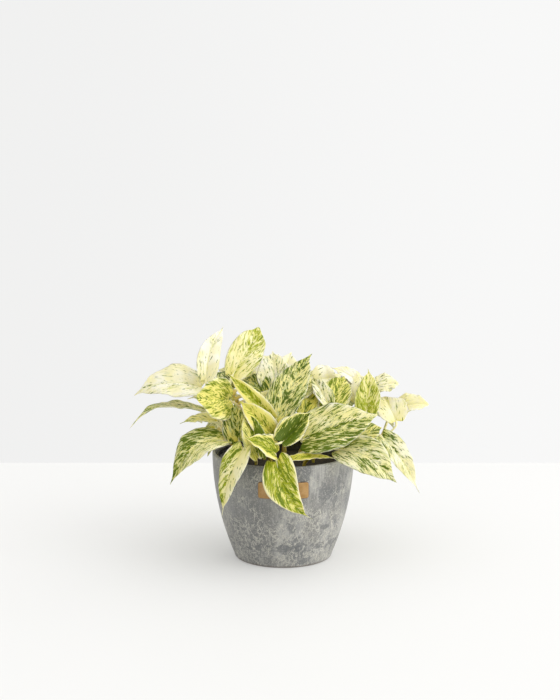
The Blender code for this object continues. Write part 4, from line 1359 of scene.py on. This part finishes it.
class POTHOS_OT_soil(bpy.types.Operator):
    """Fill the grower's pot with soil and scatter crumbs, bark and perlite on it"""

    bl_idname = "pothos.soil"
    bl_label = "Make Soil"

    def execute(self, context):
        settings = context.scene.pothos_soil
        inset = LINER_WALL + SOIL_GAP
        bottom = FLOOR + 2 * LINER_GAP + LINER_WALL
        edge = liner_radius(SOIL_EDGE_HEIGHT) - inset
        profile = []
        for share in np.linspace(0, 1, 42):
            profile.append((edge * share, SOIL_EDGE_HEIGHT + SOIL_CROWN * (1 - share**2)))
        profile += wall_line(liner_radius, SOIL_EDGE_HEIGHT, bottom, 10, inset)[1:]
        profile += level_line(profile[-1][0], 0, 6, bottom)[1:]
        # The peat's colour is partly painted shade for the inside of the pot
        peat = soil_material("peat_with_painted_shade", settings.soil, settings.dry_soil)
        ground = turned(profile, TURNED_STEPS, peat, lumps=settings.lumps, lump_size=0.011)
        tree = shared_tree("Scattered Grains", scattering_tree)
        bark = soil_material("bark_chips", settings.bark, settings.dry_soil, 0.85)
        perlite = soil_material("perlite_grains", settings.perlite, settings.perlite, 0.9)
        size = settings.crumb_size
        count = float(settings.crumb_count)
        grains = (
            Grains(count, size, size / 5, 0.75, 3, peat),
            Grains(count * 0.035, size * 2.6, size, 0.28, 5, bark),
            Grains(count * 0.045, size, size / 3, 0.8, 9, perlite),
        )
        parts = []
        for place, kind in enumerate(grains):
            parts.append(part_of(made_by(tree, ground, **kind._asdict()), place))
        put_in("soil_ground", ground, "dark_soil", "soil")
        put_in("soil_grains", joined("soil_grains", parts, [peat, bark, perlite]), "dark_soil")
        return {"FINISHED"}


class POTHOS_OT_label(bpy.types.Operator):
    """Make the bare leather label with its worn edge"""

    bl_idname = "pothos.label"
    bl_label = "Make Label"

    def execute(self, context):
        settings = context.scene.pothos_planter
        bm = bmesh.new()
        bmesh.ops.create_grid(bm, x_segments=LABEL_GRID[0], y_segments=LABEL_GRID[1], size=0.5)
        middle = Vector((LABEL_WIDTH / 2 - LABEL_CORNER, LABEL_HEIGHT / 2 - LABEL_CORNER))
        for vert in bm.verts:
            wanted = Vector((vert.co.x * LABEL_WIDTH, vert.co.y * LABEL_HEIGHT))
            reach = Vector((abs(wanted.x), abs(wanted.y))) - middle
            if reach.x > 0 and reach.y > 0:
                longest = max(reach.x, reach.y)
                corner = middle + reach.normalized() * longest
                wanted = Vector((math.copysign(corner.x, wanted.x), math.copysign(corner.y, wanted.y)))
            vert.co = (wanted.x, wanted.y, 0)
        layer = bm.verts.layers.float.new("edge")
        for vert in bm.verts:
            reach = Vector((max(abs(vert.co.x) - middle.x, 0), max(abs(vert.co.y) - middle.y, 0)))
            vert[layer] = 1 - min(1, max(0, LABEL_CORNER - reach.length) / LABEL_WORN_WIDTH)
        made = bmesh.ops.extrude_face_region(bm, geom=bm.faces[:])
        back = {item for item in made["geom"] if isinstance(item, bmesh.types.BMVert)}
        for vert in bm.verts:
            rounding = LABEL_WORN_DEPTH * vert[layer] ** 3
            out = LABEL_GAP + (LABEL_THICKNESS - rounding if vert in back else rounding)
            height = LABEL_MIDDLE_HEIGHT + vert.co.y
            radius = planter_radius(height) + out
            angle = vert.co.x / radius
            vert.co = (radius * math.sin(angle), -radius * math.cos(angle), height)
        bmesh.ops.recalc_face_normals(bm, faces=bm.faces)
        mesh = mesh_of("label_leather", bm, leather_material(settings))
        mesh.shade_smooth()
        put_in("label_leather", mesh, "tan_leather", "label")
        return {"FINISHED"}


class POTHOS_OT_stems(bpy.types.Operator):
    """Grow the leafy stems with their marbled blades"""

    bl_idname = "pothos.stems"
    bl_label = "Make Leafy Stems"

    def execute(self, context):
        settings = context.scene.pothos_leaves
        sheath = settings.sheath_colour
        materials = [
            blade_material(settings),
            stalk_material("pale_petiole", sheath, settings.petiole_colour, 0.3, settings),
            stalk_material("green_stem", settings.stem_colour, sheath, 0.6, settings),
        ]
        number = 0
        for name, stem in STEMS.items():
            parts, petioles = [], []
            for order, (leaf_name, leaf) in enumerate(stem.leaves.items()):
                number += 1
                seed = (number * 0.618034) % 1
                parts.append(fine_blade(leaf, MARBLINGS[leaf_name], seed, settings))
                petioles.append(petiole_route(stem, order, leaf, PETIOLE_POINTS))
            parts.append(stalk_part(petioles, 1, number * 0.37 % 1, 0.45))
            parts.append(stalk_part([stem_route(stem)], 2, number * 0.73 % 1, 0.12))
            mesh = joined(name + "_leaves", parts, materials, ("marbling", "blade", "stalk"))
            put_in(name + "_leaves", mesh, "marbled_leaf", name)
        return {"FINISHED"}


class POTHOS_OT_stage(bpy.types.Operator):
    """Set the pale floor, the soft light and the camera"""

    bl_idname = "pothos.stage"
    bl_label = "Set Stage"

    def execute(self, context):
        settings = context.scene.pothos_stage
        scene = context.scene
        bm = bmesh.new()
        bmesh.ops.create_grid(bm, x_segments=12, y_segments=12, size=1)
        for vert in bm.verts:
            vert.co = (vert.co.x * FLOOR_REACH[0], FLOOR_MIDDLE + vert.co.y * FLOOR_REACH[1], 0)
        mesh = mesh_of("studio_floor", bm, floor_material(settings))
        floor = bpy.data.objects.new("studio_floor", mesh)
        scene.collection.objects.link(floor)

        scene.world = self.studio_light(settings)
        power = settings.key_power
        self.lamp(scene, "key_light", KEY_PLACE, power, KEY_SIZE)
        self.lamp(scene, "rim_light", RIM_LIGHT_PLACE, power * RIM_LIGHT_SHARE, RIM_LIGHT_SIZE)

        view = bpy.data.cameras.new("photo_camera")
        view.lens = settings.lens
        view.sensor_width = SENSOR_WIDTH
        camera = bpy.data.objects.new("photo_camera", view)
        camera.location = CAMERA_PLACE
        camera.rotation_euler = (math.radians(90 - CAMERA_PITCH), 0, 0)
        scene.collection.objects.link(camera)
        scene.camera = camera
        scene.view_settings.view_transform = "Standard"
        return {"FINISHED"}

    def studio_light(self, settings):
        """Light from all round, brighter from above and the right, and for the camera a backdrop with
        painted light, a little brighter to the right.
        """
        world = bpy.data.worlds.new("studio_light")
        world.use_nodes = True
        nodes = Nodes(world.node_tree)
        towards = nodes.split(nodes.add("ShaderNodeTexCoord").outputs["Generated"])
        bright_side = nodes.times_plus(towards["Y"], -0.5, nodes.times(towards["X"], 0.85))
        sky = nodes.rise(towards["Z"], -0.1, 0.9, 0.42, 1.38)
        sky = nodes.times(sky, nodes.rise(bright_side, -0.8, 0.9, 0.76, 1.24))
        window = nodes.rise(towards["X"], 0.5, 1.0, top=2.2)
        window = nodes.times(window, nodes.rise(towards["Z"], 0.6, 0.1))
        light = world.node_tree.nodes["Background"]
        light.inputs["Color"].default_value = (1.0, 0.995, 0.985, 1)
        nodes.feed(light.inputs["Strength"], nodes.times(nodes.plus(sky, window), settings.fill))
        # Painted light: the backdrop brightens a little towards the right, as if lit from that side
        painted_backdrop = nodes.add("ShaderNodeBackground", {"Color": settings.backdrop})
        nodes.feed(painted_backdrop.inputs["Strength"], nodes.rise(towards["X"], -0.2, 0.2, 0.97, 1.04))
        seen = nodes.add("ShaderNodeLightPath").outputs["Is Camera Ray"]
        mixed = nodes.add("ShaderNodeMixShader", {"Fac": seen})
        nodes.feed(mixed.inputs[1], light.outputs[0])
        nodes.feed(mixed.inputs[2], painted_backdrop.outputs[0])
        nodes.feed(world.node_tree.nodes["World Output"].inputs["Surface"], mixed.outputs[0])
        return world

    def lamp(self, scene, name, place, power, size):
        """A square lamp that points at the plant."""
        lamp = bpy.data.lights.new(name, "AREA")
        lamp.energy = power
        lamp.size = size
        holder = bpy.data.objects.new(name, lamp)
        holder.location = place
        holder.rotation_euler = (Vector(LAMP_AIM) - Vector(place)).to_track_quat("-Z", "Y").to_euler()
        scene.collection.objects.link(holder)


class POTHOS_PT_panel(bpy.types.Panel):
    """Lists the pieces and their settings"""

    bl_idname = "POTHOS_PT_panel"
    bl_label = "Potted Pothos"
    bl_space_type = "VIEW_3D"
    bl_region_type = "UI"
    bl_category = "Pothos"

    def draw(self, context):
        for operator, settings in STEPS:
            self.layout.operator(operator.bl_idname)
            group = getattr(context.scene, settings)
            for name in group.bl_rna.properties.keys():
                if name not in ("rna_type", "name"):
                    self.layout.prop(group, name)


STEPS = (
    (POTHOS_OT_planter, "pothos_planter"),
    (POTHOS_OT_growers_pot, "pothos_planter"),
    (POTHOS_OT_soil, "pothos_soil"),
    (POTHOS_OT_label, "pothos_planter"),
    (POTHOS_OT_stems, "pothos_leaves"),
    (POTHOS_OT_stage, "pothos_stage"),
)
SETTINGS = {
    "pothos_planter": PothosPlanterSettings,
    "pothos_soil": PothosSoilSettings,
    "pothos_leaves": PothosLeafSettings,
    "pothos_stage": PothosStageSettings,
}


def register():
    for name, settings in SETTINGS.items():
        bpy.utils.register_class(settings)
        setattr(bpy.types.Scene, name, PointerProperty(type=settings))
    for operator, _ in STEPS:
        bpy.utils.register_class(operator)
    bpy.utils.register_class(POTHOS_PT_panel)


def unregister():
    bpy.utils.unregister_class(POTHOS_PT_panel)
    for operator, _ in STEPS:
        bpy.utils.unregister_class(operator)
    for name, settings in SETTINGS.items():
        delattr(bpy.types.Scene, name)
        bpy.utils.unregister_class(settings)


def main():
    register()
    for operator, _ in STEPS:
        module, name = operator.bl_idname.split(".")
        getattr(getattr(bpy.ops, module), name)()


if __name__ == "__main__":
    main()
